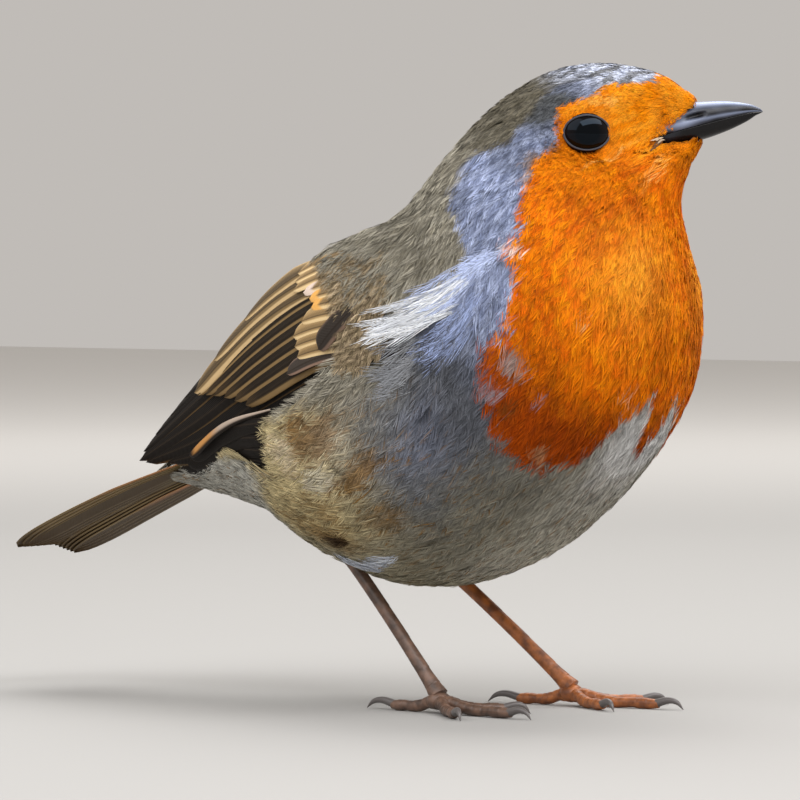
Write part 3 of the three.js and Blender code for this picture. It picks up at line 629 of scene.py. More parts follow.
def barb_layout(count, length, half, barbs, bends, draw, thick, start):
    """Where the corners of each feather's strips lie along and across it, and their share of the way out."""
    strips = barbs + 1
    rank = (np.arange(barbs) // 2 + 0.5) / (barbs / 2)
    side = np.where(np.arange(barbs) % 2, 1, -1)
    root = np.append(start + (0.86 - start) * rank, 0.1)
    reach = np.append(np.minimum(root[:-1] + 0.50, 0.93 + 0.07 * rank), 1.0)
    aside = np.append(side * (1 - 0.8 * rank**2.2), 0.0)
    root = root + draw.uniform(-0.04, 0.04, (count, strips))
    reach = reach + draw.uniform(-0.10, 0.05, (count, strips))
    aside = aside + draw.normal(0, 0.09, (count, strips))
    steps = np.linspace(0, 1, bends + 1) ** 0.9
    way = root[..., None] + (reach - root)[..., None] * steps
    off = aside[..., None] * (1 - (1 - steps) ** 1.3)
    length, half = np.broadcast_to(length, count)[:, None, None], np.broadcast_to(half, count)[:, None, None]
    middle = np.stack([way * length, off * half], -1)
    heading = unit(np.gradient(middle, axis=2))
    width = thick * np.linspace(1.0, 0.6, bends + 1)[:bends]
    sideways = np.stack([-heading[..., 1], heading[..., 0]], -1)[:, :, :-1] * width[:, None]
    left, right = middle[:, :, :-1] + sideways, middle[:, :, :-1] - sideways
    corners = np.stack([left, right], 3).reshape(count, strips, 2 * bends, 2)
    corners = np.concatenate([corners, middle[:, :, -1:]], 2)
    return corners, np.append(np.repeat(steps[:-1], 2), 1.0)


def strip_faces(bends):
    """The faces of one strip, from its root to its point, seen from outside."""
    quads = [(2 * k + 1, 2 * k + 3, 2 * k + 2, 2 * k) for k in range(bends - 1)]
    return quads, (2 * bends - 1, 2 * bends, 2 * bends - 2)


def strips_piece(name, points, normals, colours, patch, bends, material):
    """One joined mesh of many strips. Points, normals and colours are by strip and corner, patch by strip."""
    strips, corners = points.shape[:2]
    quads, last = strip_faces(bends)
    template = np.array([v for quad in quads for v in quad] + list(last))
    loops = (np.arange(strips)[:, None] * corners + template).ravel()
    sizes = np.tile([4] * len(quads) + [3], strips)
    mesh = bpy.data.meshes.new(name)
    mesh.vertices.add(strips * corners)
    mesh.vertices.foreach_set("co", ((points.reshape(-1, 3) + ORIGIN) * MM).astype(np.float32).ravel())
    mesh.loops.add(len(loops))
    mesh.loops.foreach_set("vertex_index", loops.astype(np.int32))
    mesh.polygons.add(len(sizes))
    mesh.polygons.foreach_set("loop_start", np.concatenate([[0], np.cumsum(sizes)[:-1]]).astype(np.int32))
    mesh.polygons.foreach_set("use_smooth", np.ones(len(sizes), bool))
    mesh.update()
    paint(mesh, colours.reshape(-1, 3))
    corner_at = np.stack([np.arange(corners) / (corners - 1), np.arange(corners) % 2], -1) * 2 - 1
    uv = patch[:, None, :] + corner_at[template] * BAKE_PATCH
    mesh.uv_layers.new(name="OFBake").data.foreach_set("uv", uv.astype(np.float32).ravel())
    mesh.normals_split_custom_set_from_vertices(normals.reshape(-1, 3).astype(np.float32))
    mesh.materials.append(material)
    link(bpy.data.objects.new(name, mesh), "plumage")


ROOT_NET = 120  # knots each way of the net that spreads the roots


def roots(shares, degrees, per_square, draw):
    """Evenly spread roots over a part of the form's left side, so many to a square millimetre."""
    s, a = np.linspace(*shares, ROOT_NET), np.radians(np.linspace(*degrees, ROOT_NET))
    grid_s, grid_a = np.meshgrid(s, a, indexing="ij")
    ahead, around = look_up(net_ahead, grid_s, grid_a), look_up(net_round, grid_s, grid_a)
    area = np.linalg.norm(np.cross(ahead, around), axis=-1)
    total = area.mean() * (s[-1] - s[0]) * (a[-1] - a[0])
    long = np.linalg.norm(ahead, axis=-1).mean() * (s[-1] - s[0])
    wide = np.linalg.norm(around, axis=-1).mean() * (a[-1] - a[0])
    rows = max(3, round(math.sqrt(total * per_square * long / wide)))
    columns = max(3, round(total * per_square / rows))
    row, column = np.meshgrid(np.arange(rows), np.arange(columns), indexing="ij")
    row = (row + draw.uniform(0.05, 0.95, row.shape)) / rows
    column = (column + draw.uniform(0, 1, row.shape)) / columns
    by_row = np.append(0, np.cumsum(area.sum(1)))
    share = np.interp(row, by_row / by_row[-1], np.linspace(s[0], s[-1], ROOT_NET + 1))
    last = ROOT_NET - 1
    place = ((share - s[0]) / (s[-1] - s[0]) * last).astype(int).clip(0, last)
    by_column = np.concatenate([np.zeros((ROOT_NET, 1)), np.cumsum(area, 1)], 1)
    by_column = by_column / by_column[:, -1:]
    angle = np.zeros_like(share)
    for k in range(ROOT_NET):
        here = place == k
        angle[here] = np.interp(column[here], by_column[k], np.linspace(a[0], a[-1], ROOT_NET + 1))
    return share.ravel(), angle.ravel()


# Where the folded wing shows, in the blade's own shares: behind its front line, and between its two edges.
WING_SHOWS_FROM = [(0, 0.29), (0.2, 0.285), (0.45, 0.28), (0.63, 0.30), (0.9, 0.40), (1.0, 0.46)]
WING_SHOWS_ABOVE = [
    (0.3, 0.19), (0.345, 0.16), (0.40, 0.10), (0.47, 0.05), (0.618, 0.0), (0.8, -0.05), (1.0, -0.1),
]
# At the rear the wing also hides the form's side: down to these degrees from the back, by the form's own
# share, and only behind one share and below one angle.
REAR_SHOWS_ABOVE = [(0.0, 112), (0.016, 110), (0.09, 103), (0.20, 98)]
REAR_SHOWS_BEHIND, REAR_SHOWS_BELOW = 0.195, 55


def wing_shows(share, angle, margin=0.0):
    """Whether the folded wing is bare of coat at places on the form."""
    side_angle = np.abs((angle + math.pi) % (2 * math.pi) - math.pi)
    along, across = look_up(wing_along, share, side_angle), look_up(wing_across, share, side_angle)
    bare = along > along_list(WING_SHOWS_FROM, across) + margin
    bare &= across > along_list(WING_SHOWS_ABOVE, along) + margin
    bare &= look_up(wing_beside, share, side_angle) < 0.9
    degrees = np.degrees(side_angle)
    low = along_list(REAR_SHOWS_ABOVE, share) - 60 * margin
    behind = (share < REAR_SHOWS_BEHIND - margin * 0.2) & (degrees > REAR_SHOWS_BELOW) & (degrees < low)
    return bare | behind


def lean(share, degrees):
    """How far the feathers turn from lying straight back, in degrees, towards the back."""
    side_breast = 22 * spot(share, degrees, (0.42, 84), (0.09, 26))
    flank = 10 * spot(share, degrees, (0.28, 110), (0.08, 25))
    return side_breast + flank


SHEEN_SPREAD = 0.12  # how unevenly the barbs face the light


def lay_feathers(share, angle, side, length, half, layout, tilt, draw, stand=0.0, rise=2.0):
    """Lays feathers' corners on the form, from the skin up to the coat's outer face."""
    angle = angle * side
    ahead, around = look_up(net_ahead, share, angle), look_up(net_round, share, angle)
    normal = look_up(net_normal, share, angle)
    back = unit(-ahead)
    aside = np.cross(normal, back)
    turn = (np.radians(tilt) * -side)[:, None]
    heading = back * np.cos(turn) + aside * np.sin(turn)
    sideways = np.cross(normal, heading)
    e, f, g = (ahead * ahead).sum(-1), (ahead * around).sum(-1), (around * around).sum(-1)
    size = e * g - f * f

    def per_millimetre(direction):
        p, q = (direction * ahead).sum(-1), (direction * around).sum(-1)
        return (p * g - q * f) / size, (q * e - p * f) / size

    along_step, across_step = per_millimetre(heading), per_millimetre(sideways)
    way, off = layout[..., 0], layout[..., 1]
    wide = lambda values: values[:, None, None]
    s = wide(share) + way * wide(along_step[0]) + off * wide(across_step[0])
    a = wide(angle) + way * wide(along_step[1]) + off * wide(across_step[1])
    out = np.clip(way / wide(length), 0, 1.1)
    depth = coat_depth(s, a)
    droop = 0.22 * (off / wide(half)) ** 2 * depth * 0.4
    settle = wide(draw.normal(0, 0.10, len(share))) * out * depth / 2.8
    fluff = draw.normal(0, 0.03, way.shape[:2])[..., None] * out
    two_edges = np.where(np.arange(way.shape[2]) % 2, 1, -1)
    roll = draw.uniform(-0.035, 0.035, way.shape[:2])[..., None] * two_edges
    height = look_up(coat_lift, s, a) - look_up(dish, s, a) - depth * (1 - out) ** rise
    height = height - droop + settle + fluff + roll
    height = height - 0.6 * look_up(bill_sink, s, a) * (1 - out)
    uneven = draw.normal(0, SHEEN_SPREAD, (*way.shape[:2], 1, 3))
    return on_form(s, a, height + stand), unit(look_up(net_normal, s, a) + uneven), (s[..., -1], a[..., -1])


ROOT_LIGHT = 0.55  # how light a barb's root is beside its end


def feather_colours(ends, steps, draw, streak):
    """Each barb's colour is the marking at its end, darker at its root, and a little different by feather."""
    base = markings(*ends)
    count, strips = base.shape[:2]
    variety = 1 + draw.normal(0, 0.8 * streak, (count, 1, 1)) + draw.normal(0, streak, (count, strips, 1))
    way_out = ROOT_LIGHT + (1 - ROOT_LIGHT) * smooth(steps * 1.3 + 0.15)
    tip = 1 + 0.10 * smooth((steps - 0.6) / 0.4)
    shade = variety * way_out * tip
    return base[:, :, None, :] * np.clip(shade, 0.25, 1.7)[..., None]


COVERT_DARK, COVERT_OLIVE, COVERT_EDGE = (84, 68, 50), (142, 126, 98), (196, 174, 142)


def covert_colours(layout, half, steps, draw):
    """The small wing coverts' colours: dark brown in the middle, olive beside it, and a buff edge."""
    count, strips, corners = layout.shape[:3]
    from_shaft = np.abs(layout[:, :, -1:, 1]) / half[:, None, None] * np.ones(corners)
    colour = np.broadcast_to(linear(COVERT_DARK), (count, strips, corners, 3))
    colour = mix(colour, COVERT_OLIVE, smooth(from_shaft * 2.2 - 0.2))
    colour = mix(colour, COVERT_EDGE, smooth((from_shaft - 0.62) / 0.25) * 0.9)
    colour = mix(colour, COVERT_EDGE, 0.5 * smooth((steps - 0.75) / 0.25) * np.ones((count, strips, 1)))
    variety = 1 + draw.normal(0, 0.12, (count, 1, 1)) + draw.normal(0, 0.12, (count, strips, 1))
    return colour * np.clip(variety * (0.5 + 0.5 * smooth(steps * 1.5)), 0.25, 1.7)[..., None]


# Each tract's shares, degrees from the back, feathers to a square millimetre, length, half width, number of
# barbs and a barb's half width.
TRACTS = {
    "forehead": ((0.80, 0.985), (0, 62), 5.0, 3.4, 0.42, 10, 0.038),
    "lores_and_chin": ((0.745, 0.985), (62, 180), 5.0, 3.2, 0.40, 10, 0.038),
    "crown": ((0.62, 0.84), (0, 58), 3.0, 5.0, 0.62, 12, 0.045),
    "cheeks": ((0.60, 0.79), (58, 128), 3.8, 4.6, 0.55, 12, 0.041),
    "throat": ((0.57, 0.80), (128, 180), 2.9, 5.8, 0.70, 14, 0.044),
    "neck": ((0.50, 0.65), (58, 128), 1.8, 7.0, 1.0, 20, 0.048),
    "mantle": ((0.30, 0.67), (0, 58), 0.82, 8.2, 1.5, 28, 0.055),
    "breast": ((0.36, 0.63), (105, 180), 0.90, 8.6, 1.35, 30, 0.050),
    "side_breast": ((0.33, 0.54), (58, 105), 0.95, 9.2, 1.4, 32, 0.048),
    "belly": ((0.13, 0.40), (125, 180), 0.70, 9.0, 1.6, 28, 0.054),
    "flanks": ((0.12, 0.38), (62, 125), 0.80, 9.4, 1.6, 32, 0.050),
    "rump": ((0.0, 0.34), (0, 62), 0.65, 8.0, 1.7, 28, 0.056),
    "vent": ((0.0, 0.16), (62, 180), 0.80, 7.6, 1.5, 26, 0.054),
    "lesser_coverts": ((0.29, 0.50), (18, 84), 1.7, 4.8, 0.95, 16, 0.050),
    "round_eye": ((0.56, 0.80), (36, 136), 11.0, 3.2, 0.36, 7, 0.036),
    "round_bill": ((0.68, 0.99), (40, 180), 11.0, 1.7, 0.30, 6, 0.036),
}
# How much the feathers of a tract differ in lightness.
STREAKS = {
    "side_breast": 0.24, "flanks": 0.22, "neck": 0.20, "mantle": 0.18, "crown": 0.2,
    "belly": 0.14, "cheeks": 0.14,
}
PLAIN_STREAK = 0.12
BENDS = 2  # straight lengths in each barb
EYE_FRINGE = (3.12, 8.4)  # from the eye's axis, where its own tiny feathers are rooted
BILL_FRINGE = (-2.8, 0.7)  # from the bare bill's edge, where its own tiny feathers are rooted


def in_tract(tract, share, angle, tip, side):
    """Whether roots belong to a tract: clear of the eye, the bill and the bare wing."""
    ring = look_up(eye_ring, share, angle * side)
    bare = look_up(bill_bare, share, angle * side)
    if tract == "round_eye":
        return (ring > EYE_FRINGE[0]) & (ring < EYE_FRINGE[1]) & (bare < -1.0)
    if tract == "round_bill":
        return (bare < BILL_FRINGE[1]) & (bare > BILL_FRINGE[0]) & (ring > EYE_FRINGE[0])
    if tract == "lesser_coverts":
        along, across = look_up(wing_along, share, angle), look_up(wing_across, share, angle)
        beside = look_up(wing_beside, share, angle)
        front = along > 0.205 - 0.05 * smooth((across - 0.45) / 0.2)
        front &= along < 0.31 + 0.08 * smooth((across - 0.6) / 0.4)
        low = 0.22 - 0.10 * smooth((along - 0.23) / 0.035)
        return front & (across > low) & (across < 0.97) & (beside < 1.2)
    clear = (ring > EYE_FRINGE[0] + 1.6) & (bare < -1.2)
    edge = -0.06 if tract in ("flanks", "side_breast") else 0.03
    return clear & ~wing_shows(share, angle) & ~wing_shows(*tip, edge)


soft_feather = feathered("contour_feathers", 0.75)
for order, (tract, (shares, degrees, density, long, wide, barbs, thick)) in enumerate(TRACTS.items()):
    for side, side_name in ((-1, "right"), (1, "left")):
        draw = np.random.default_rng(100 + order * 2 + (side > 0))
        share, angle = roots(shares, degrees, density, draw)
        beside_eye = look_up(eye_ring, share, angle * side) - EYE_FRINGE[0]
        length = long * draw.uniform(0.85, 1.15, len(share))
        if tract == "round_eye":
            length = length * np.clip(0.28 + 0.14 * beside_eye, 0.28, 1)
        elif tract != "round_bill":
            length = np.minimum(length, np.maximum(1.5, 1.15 * beside_eye))
        flow = cloud(on_form(share, angle * side, np.zeros_like(share)), 3.5, 60)
        unruly = 5.0 if thick < 0.046 else 3.0
        tilt = lean(share, np.degrees(angle)) + 7 * flow + draw.normal(0, unruly, len(share))
        ahead = np.linalg.norm(look_up(net_ahead, share, angle), axis=-1)
        around = np.linalg.norm(look_up(net_round, share, angle), axis=-1)
        turn = np.radians(tilt)
        tip = share - 0.9 * length * np.cos(turn) / ahead, angle - 0.9 * length * np.sin(turn) / around
        keep = in_tract(tract, share, angle, tip, side)
        share, angle, length, tilt, ahead = share[keep], angle[keep], length[keep], tilt[keep], ahead[keep]
        half = wide * draw.uniform(0.85, 1.15, len(share))
        start = TINY_BARBS_FROM if tract.startswith("round") else BARBS_FROM
        layout, steps = barb_layout(len(share), length, half, barbs, BENDS, draw, thick, start)
        points, normals, ends = lay_feathers(share, angle, side, length, half, layout, tilt, draw)
        colours = feather_colours(ends, steps, draw, STREAKS.get(tract, PLAIN_STREAK))
        if tract == "lesser_coverts":
            colours = covert_colours(layout, half, steps, draw)
        patch = np.stack([share * BODY_UNWRAP, angle * side / (2 * math.pi) + 0.5], -1)
        strips_piece(
            f"coat_{tract}_{side_name}",
            points.reshape(-1, *points.shape[2:]),
            normals.reshape(-1, *points.shape[2:]),
            colours.reshape(-1, *colours.shape[2:]),
            np.repeat(patch, layout.shape[1], 0),
            BENDS,
            soft_feather,
        )

# ---------------------------------------------------------------- loose white feathers
# Long silky feathers of the side breast that have slipped over the bend of the wing. Their fine white barbs
# part into separate strands over the coverts.
LOOSE_WHITE, LOOSE_PALE, LOOSE_BLUE = (246, 249, 255), (194, 206, 240), (156, 170, 208)
LOOSE_SLATE, LOOSE_GREY = (84, 88, 102), (150, 152, 156)
HEEL_WHITE = (222, 228, 240)
BRISTLE_CREAM, BRISTLE_DARK = (220, 196, 168), (110, 78, 52)
# Where they root and where they point, as shares and degrees, then their number, length, half width, colour
# and how far their ends stand off the coat.
LOOSE = {
    "loose_breast_feathers": [
        (((0.50, 0.45), (97, 99)), ((0.37, 0.35), (78, 90)), 34, 11.0, 0.8, LOOSE_BLUE, 0.05),
        (((0.535, 0.505), (97, 91)), ((0.44, 0.43), (76, 84)), 30, 9.5, 0.7, LOOSE_PALE, 0.08),
        (((0.48, 0.44), (90, 95)), ((0.36, 0.34), (72, 82)), 14, 10.0, 0.5, LOOSE_SLATE, 0.05),
        (((0.505, 0.47), (90, 93)), ((0.40, 0.385), (68, 78)), 26, 12.0, 0.6, LOOSE_PALE, 0.15),
        (((0.50, 0.46), (90, 91)), ((0.36, 0.345), (64, 70)), 16, 12.0, 0.4, LOOSE_WHITE, 0.25),
        (((0.455, 0.43), (83, 87)), ((0.335, 0.325), (59, 71)), 22, 12.5, 0.5, LOOSE_WHITE, 0.45),
        (((0.42, 0.38), (88, 94)), ((0.32, 0.31), (72, 82)), 30, 9.0, 0.9, LOOSE_GREY, 0.08),
    ],
    "thigh_tuft": [
        (((0.300, 0.255), (140, 151)), ((0.222, 0.222), (134, 144)), 34, 7.0, 0.8, HEEL_WHITE, 0.12),
    ],
    "gape_bristles": [
        (((0.775, 0.755), (119, 127)), ((0.72, 0.715), (115, 122)), 4, 2.0, 0.10, BRISTLE_CREAM, 0.05),
        (((0.77, 0.75), (121, 128)), ((0.70, 0.69), (118, 130)), 4, 2.2, 0.10, BRISTLE_DARK, 0.1),
    ],
}
LOOSE_BARBS, LOOSE_BENDS, LOOSE_THICK, LOOSE_BARBS_FROM = 9, 4, 0.042, 0.12
LOOSE_RISE = 9.0  # how steeply they leave the skin, so that most of their length lies over the coat


def tilt_towards(share, angle, to_share, to_angle):
    """How far feathers turn, in degrees towards the back, to run to other places on the left side's form."""
    ahead, around = look_up(net_ahead, share, angle), look_up(net_round, share, angle)
    way = ahead * (to_share - share)[:, None] + around * (to_angle - angle)[:, None]
    back = unit(-ahead)
    aside = np.cross(look_up(net_normal, share, angle), back)
    return -np.degrees(np.arctan2((way * aside).sum(-1), (way * back).sum(-1)))


for (name, groups), side in itertools.product(LOOSE.items(), (-1, 1)):
    draw = np.random.default_rng(400 + side)
    parts = []
    for (root_share, root_degrees), (end_share, end_degrees), count, long, wide, shade, stand in groups:
        at, aim = draw.uniform(0, 1, count), draw.uniform(0, 1, count)
        share = root_share[0] + (root_share[1] - root_share[0]) * at
        degrees = root_degrees[0] + (root_degrees[1] - root_degrees[0]) * at
        angle = np.radians(degrees + draw.normal(0, 1.8, count))
        to_share = end_share[0] + (end_share[1] - end_share[0]) * aim
        to_angle = np.radians(end_degrees[0] + (end_degrees[1] - end_degrees[0]) * aim)
        tilt = tilt_towards(share, angle, to_share, to_angle) + draw.normal(0, 3, count)
        length = long * draw.uniform(0.7, 1.15, count)
        half = wide * draw.uniform(0.8, 1.2, count)
        layout, steps = barb_layout(
            count, length, half, LOOSE_BARBS, LOOSE_BENDS, draw, LOOSE_THICK, LOOSE_BARBS_FROM
        )
        points, normals, _ = lay_feathers(
            share, angle, side, length, half, layout, tilt, draw, stand, LOOSE_RISE
        )
        tint = 1 + draw.normal(0, 0.10, (count, 1, 1)) + draw.normal(0, 0.16, layout.shape[:2])[..., None]
        fade = 0.75 + 0.25 * smooth(steps * 1.5)
        colours = linear(shade) * (tint * fade)[..., None]
        patch = np.stack([share * BODY_UNWRAP, angle * side / (2 * math.pi) + 0.5], -1)
        strips = layout.shape[1]
        by_strip = [values.reshape(-1, *values.shape[2:]) for values in (points, normals, colours)]
        parts.append((*by_strip, np.repeat(patch, strips, 0)))
    points, normals, colours, patch = (np.concatenate(group) for group in zip(*parts))
    side_name = "right" if side < 0 else "left"
    strips_piece(f"{name}_{side_name}", points, normals, colours, patch, LOOSE_BENDS, soft_feather)

# ---------------------------------------------------------------- eyes
# Each eyeball is a dark, wet globe, a little flatter than round. Only its cornea shows between the lids,
# almost black, with a thin dark-brown iris.
EYE_BLACK, IRIS_BROWN = (5, 4, 4), (15, 9, 7)
IRIS_FROM, IRIS_TO = 0.50, 0.80  # shares of the globe's radius
wet = bpy.data.materials.new("eyeball")
wet.use_nodes = True
wet_nodes, wet_links = wet.node_tree.nodes, wet.node_tree.links
wet_shader = wet_nodes["Principled BSDF"]
wet_shader.inputs["Roughness"].default_value = 0.03
wet_shader.inputs["Specular IOR Level"].default_value = 0.17
wet_shader.inputs["Specular Tint"].default_value = (0.55, 0.76, 1.0, 1.0)
iris = wet_nodes.new("ShaderNodeAttribute")
iris.attribute_name = "plumage"
wet_links.new(iris.outputs["Color"], wet_shader.inputs["Base Color"])
for side, side_name in ((-1, "right"), (1, "left")):
    middle, out, ahead, up = eye_place(side)
    eye = bmesh.new()
    bmesh.ops.create_uvsphere(eye, u_segments=48, v_segments=32, radius=1)
    globe = places(eye)
    reach = np.linalg.norm(globe[:, :2], axis=1)
    points = middle + out * (globe[:, 2] * EYE_RADIUS[1])[:, None]
    points = points + ahead * (globe[:, 0] * EYE_RADIUS[0])[:, None]
    points = points + up * (globe[:, 1] * EYE_RADIUS[2])[:, None]
    put(eye, points)
    bmesh.ops.recalc_face_normals(eye, faces=eye.faces)
    eyeball = finished(f"eyeball_{side_name}", eye, wet, "eye")
    ring = smooth((reach - IRIS_FROM) / 0.1) * (1 - smooth((reach - IRIS_TO) / 0.1))
    paint(eyeball.data, linear(EYE_BLACK) + (linear(IRIS_BROWN) - linear(EYE_BLACK)) * ring[:, None])
    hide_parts(f"eye_{side_name}")

# ---------------------------------------------------------------- bill
# A slender bill of horn in two halves that close on a fine line. The upper half has a rounded ridge and a
# slit-shaped nostril near its root, and both run back under the feathers of the face.
CULMEN = [
    (22.5, 86.0), (26.0, 86.55), (30.0, 86.8), (33.5, 86.85),
    (36.4, 86.5), (37.9, 85.95), (38.45, 85.5),
]
MOUTH = [
    (22.5, 81.5), (26.0, 82.5), (30.0, 83.6), (33.5, 84.5),
    (36.4, 85.15), (37.9, 85.35), (38.45, 85.35),
]
KEEL = [
    (22.5, 79.9), (26.0, 80.55), (30.0, 81.45), (33.5, 82.7),
    (36.1, 83.95), (37.4, 84.8), (37.9, 85.05),
]
BILL_HALF = [3.7, 3.1, 2.3, 1.55, 0.85, 0.4, 0.14]
PARTING = 0.02  # half the fine gap between the closed halves
NOSTRIL_AT, NOSTRIL_SIZE, NOSTRIL_TILT, NOSTRIL_DEEP = (28.9, 84.75), (1.3, 0.36), 0.22, 0.6
# the horn's own black and grey, and a pale blue-white painted highlight for the upper half
HORN_BLACK, HORN_GREY, HORN_HIGHLIGHT = (14, 13, 14), (48, 50, 58), (172, 184, 214)
horn = feathered("bill_horn", 0.27)
horn.node_tree.nodes["Principled BSDF"].inputs["Specular IOR Level"].default_value = 0.24
for upper, half_name in ((True, "upper"), (False, "lower")):
    ridge = through([(x, 0, z) for x, z in (CULMEN if upper else KEEL)])
    mouth = through([(x, 0, z) for x, z in MOUTH])
    wide = through([[h] for h in BILL_HALF])
    bill = bmesh.new()
    bmesh.ops.create_grid(bill, x_segments=90, y_segments=56, size=1)
    flat = places(bill)
    share, round_turn = (flat[:, 0] + 1) / 2, flat[:, 1] * math.pi / 2
    share = share**0.9
    edge, top = mouth(share), ridge(share)
    parting = PARTING if upper else -PARTING
    arch = np.cos(round_turn) ** 0.8
    x = edge[:, 0] * (1 - arch) + top[:, 0] * arch
    y = wide(share)[:, 0] * np.sin(round_turn)
    z = edge[:, 2] + parting + (top[:, 2] - edge[:, 2] - parting) * arch
    if upper:
        from_slit = z - NOSTRIL_AT[1] - NOSTRIL_TILT * (x - NOSTRIL_AT[0])
        beside = np.exp(-(((x - NOSTRIL_AT[0]) / NOSTRIL_SIZE[0]) ** 4 + (from_slit / NOSTRIL_SIZE[1]) ** 4))
        y = y * (1 - beside * NOSTRIL_DEEP / np.maximum(np.abs(y), 0.6))
    else:
        y = y * 0.95
    put(bill, about_neck(np.stack([x, y, z], -1), 1.0))
    rim = [e for e in bill.edges if e.is_boundary]
    bmesh.ops.holes_fill(bill, edges=rim, sides=0)
    bmesh.ops.triangulate(bill, faces=[f for f in bill.faces if len(f.verts) > 4])
    bmesh.ops.recalc_face_normals(bill, faces=bill.faces)
    piece = finished(f"bill_{half_name}_half", bill, horn, "bill")
    greyer = 0.5 + 0.5 * cloud(np.stack([x, y, z], -1), 0.9, 80)
    if not upper:
        greyer = 0.6 * greyer * (1 - smooth((x - 25.0) / 3.5))
    shade = mix(np.broadcast_to(linear(HORN_BLACK), (len(flat), 3)), HORN_GREY, greyer)
    if upper:
        # painted highlights: a pale blue-white reflection along the upper half's ridge, a thin one along its
        # cutting edge and a soft one by the nostril
        turned = np.abs(round_turn)
        ridge_highlight = 0.85 * np.exp(-((turned / 0.72) ** 4)) * (1 - 0.5 * smooth((x - 35) / 3))
        shade = mix(shade, HORN_HIGHLIGHT, ridge_highlight)
        mouth_highlight = 0.35 * np.exp(-(((turned - 1.42) / 0.07) ** 2))
        nostril_highlight = 0.25 * np.exp(-(((x - 27.5) / 1.5) ** 2))
        shade = mix(shade, HORN_HIGHLIGHT, mouth_highlight + nostril_highlight)
        # painted shade: the nostril's slit is painted near black, as the shade in its hollow
        shade = mix(shade, HORN_BLACK, 0.9 * np.minimum(1, 1.5 * beside))
    paint(piece.data, shade)
    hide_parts(f"bill_{half_name}")

# ---------------------------------------------------------------- wing feathers
# The folded wing: stiff flight feathers of a dark shaft and two webs, laid like slats from the long
# primaries at the bottom, over them the secondaries, three tertials, the greater coverts and the alula.
WING_BLACK, WING_BROWN, WARM_BROWN, SHAFT_BROWN = (20, 15, 11), (52, 40, 28), (98, 76, 46), (48, 38, 28)
STRIPE_PALE, STRIPE_RUFOUS, STRIPE_DARK = (178, 160, 144), (196, 140, 78), (30, 22, 16)
HIDDEN_EDGE_SHADE = (30, 23, 17)
SECONDARY_DARK, SECONDARY_EDGE = (34, 26, 17), (136, 110, 72)
TERTIAL_MIDDLE, TERTIAL_EDGE, TERTIAL_SHADE = (130, 107, 72), (200, 170, 124), (48, 37, 26)
COVERT_BUFF, COVERT_PALE, COVERT_SHADE = (172, 142, 98), (232, 202, 152), (66, 50, 34)
ORANGE_TIP, PINK_WHITE = (238, 176, 92), (228, 206, 192)
ALULA_GREY, ALULA_EDGE = (66, 58, 52), (150, 122, 104)
VANE_ROWS, VANE_COLUMNS, VANE_THICK = 36, 16, 0.07
SLOPE_STEP = 0.004  # the share of a surface over which its slopes are taken

quill = feathered("flight_feathers", 0.55)
quill_nodes, quill_links = quill.node_tree.nodes, quill.node_tree.links
web = quill_nodes.new("ShaderNodeUVMap")
web.uv_map = "vane"
web_parts = quill_nodes.new("ShaderNodeSeparateXYZ")
quill_links.new(web.outputs["UV"], web_parts.inputs["Vector"])


def figure(kind, first, second=0.0):
    """One step of arithmetic in the stiff feathers' material."""
    node = quill_nodes.new("ShaderNodeMath")
    node.operation = kind
    for socket, value in zip(node.inputs, (first, second)):
        if isinstance(value, (int, float)):
            socket.default_value = value
        else:
            quill_links.new(value, socket)
    return node.outputs[0]


BARBS_PER_MM, BARB_SLANT = 3.2, 0.9
from_shaft = figure("ABSOLUTE", web_parts.outputs["X"])
along_web = figure("SUBTRACT", web_parts.outputs["Y"], figure("MULTIPLY", from_shaft, BARB_SLANT))
ripple = figure("SINE", figure("MULTIPLY", along_web, BARBS_PER_MM * 2 * math.pi))
rib = quill_nodes.new("ShaderNodeBump")
rib.inputs["Strength"].default_value = 0.35
rib.inputs["Distance"].default_value = 0.00006
quill_links.new(ripple, rib.inputs["Height"])
quill_links.new(rib.outputs["Normal"], quill_nodes["Principled BSDF"].inputs["Normal"])


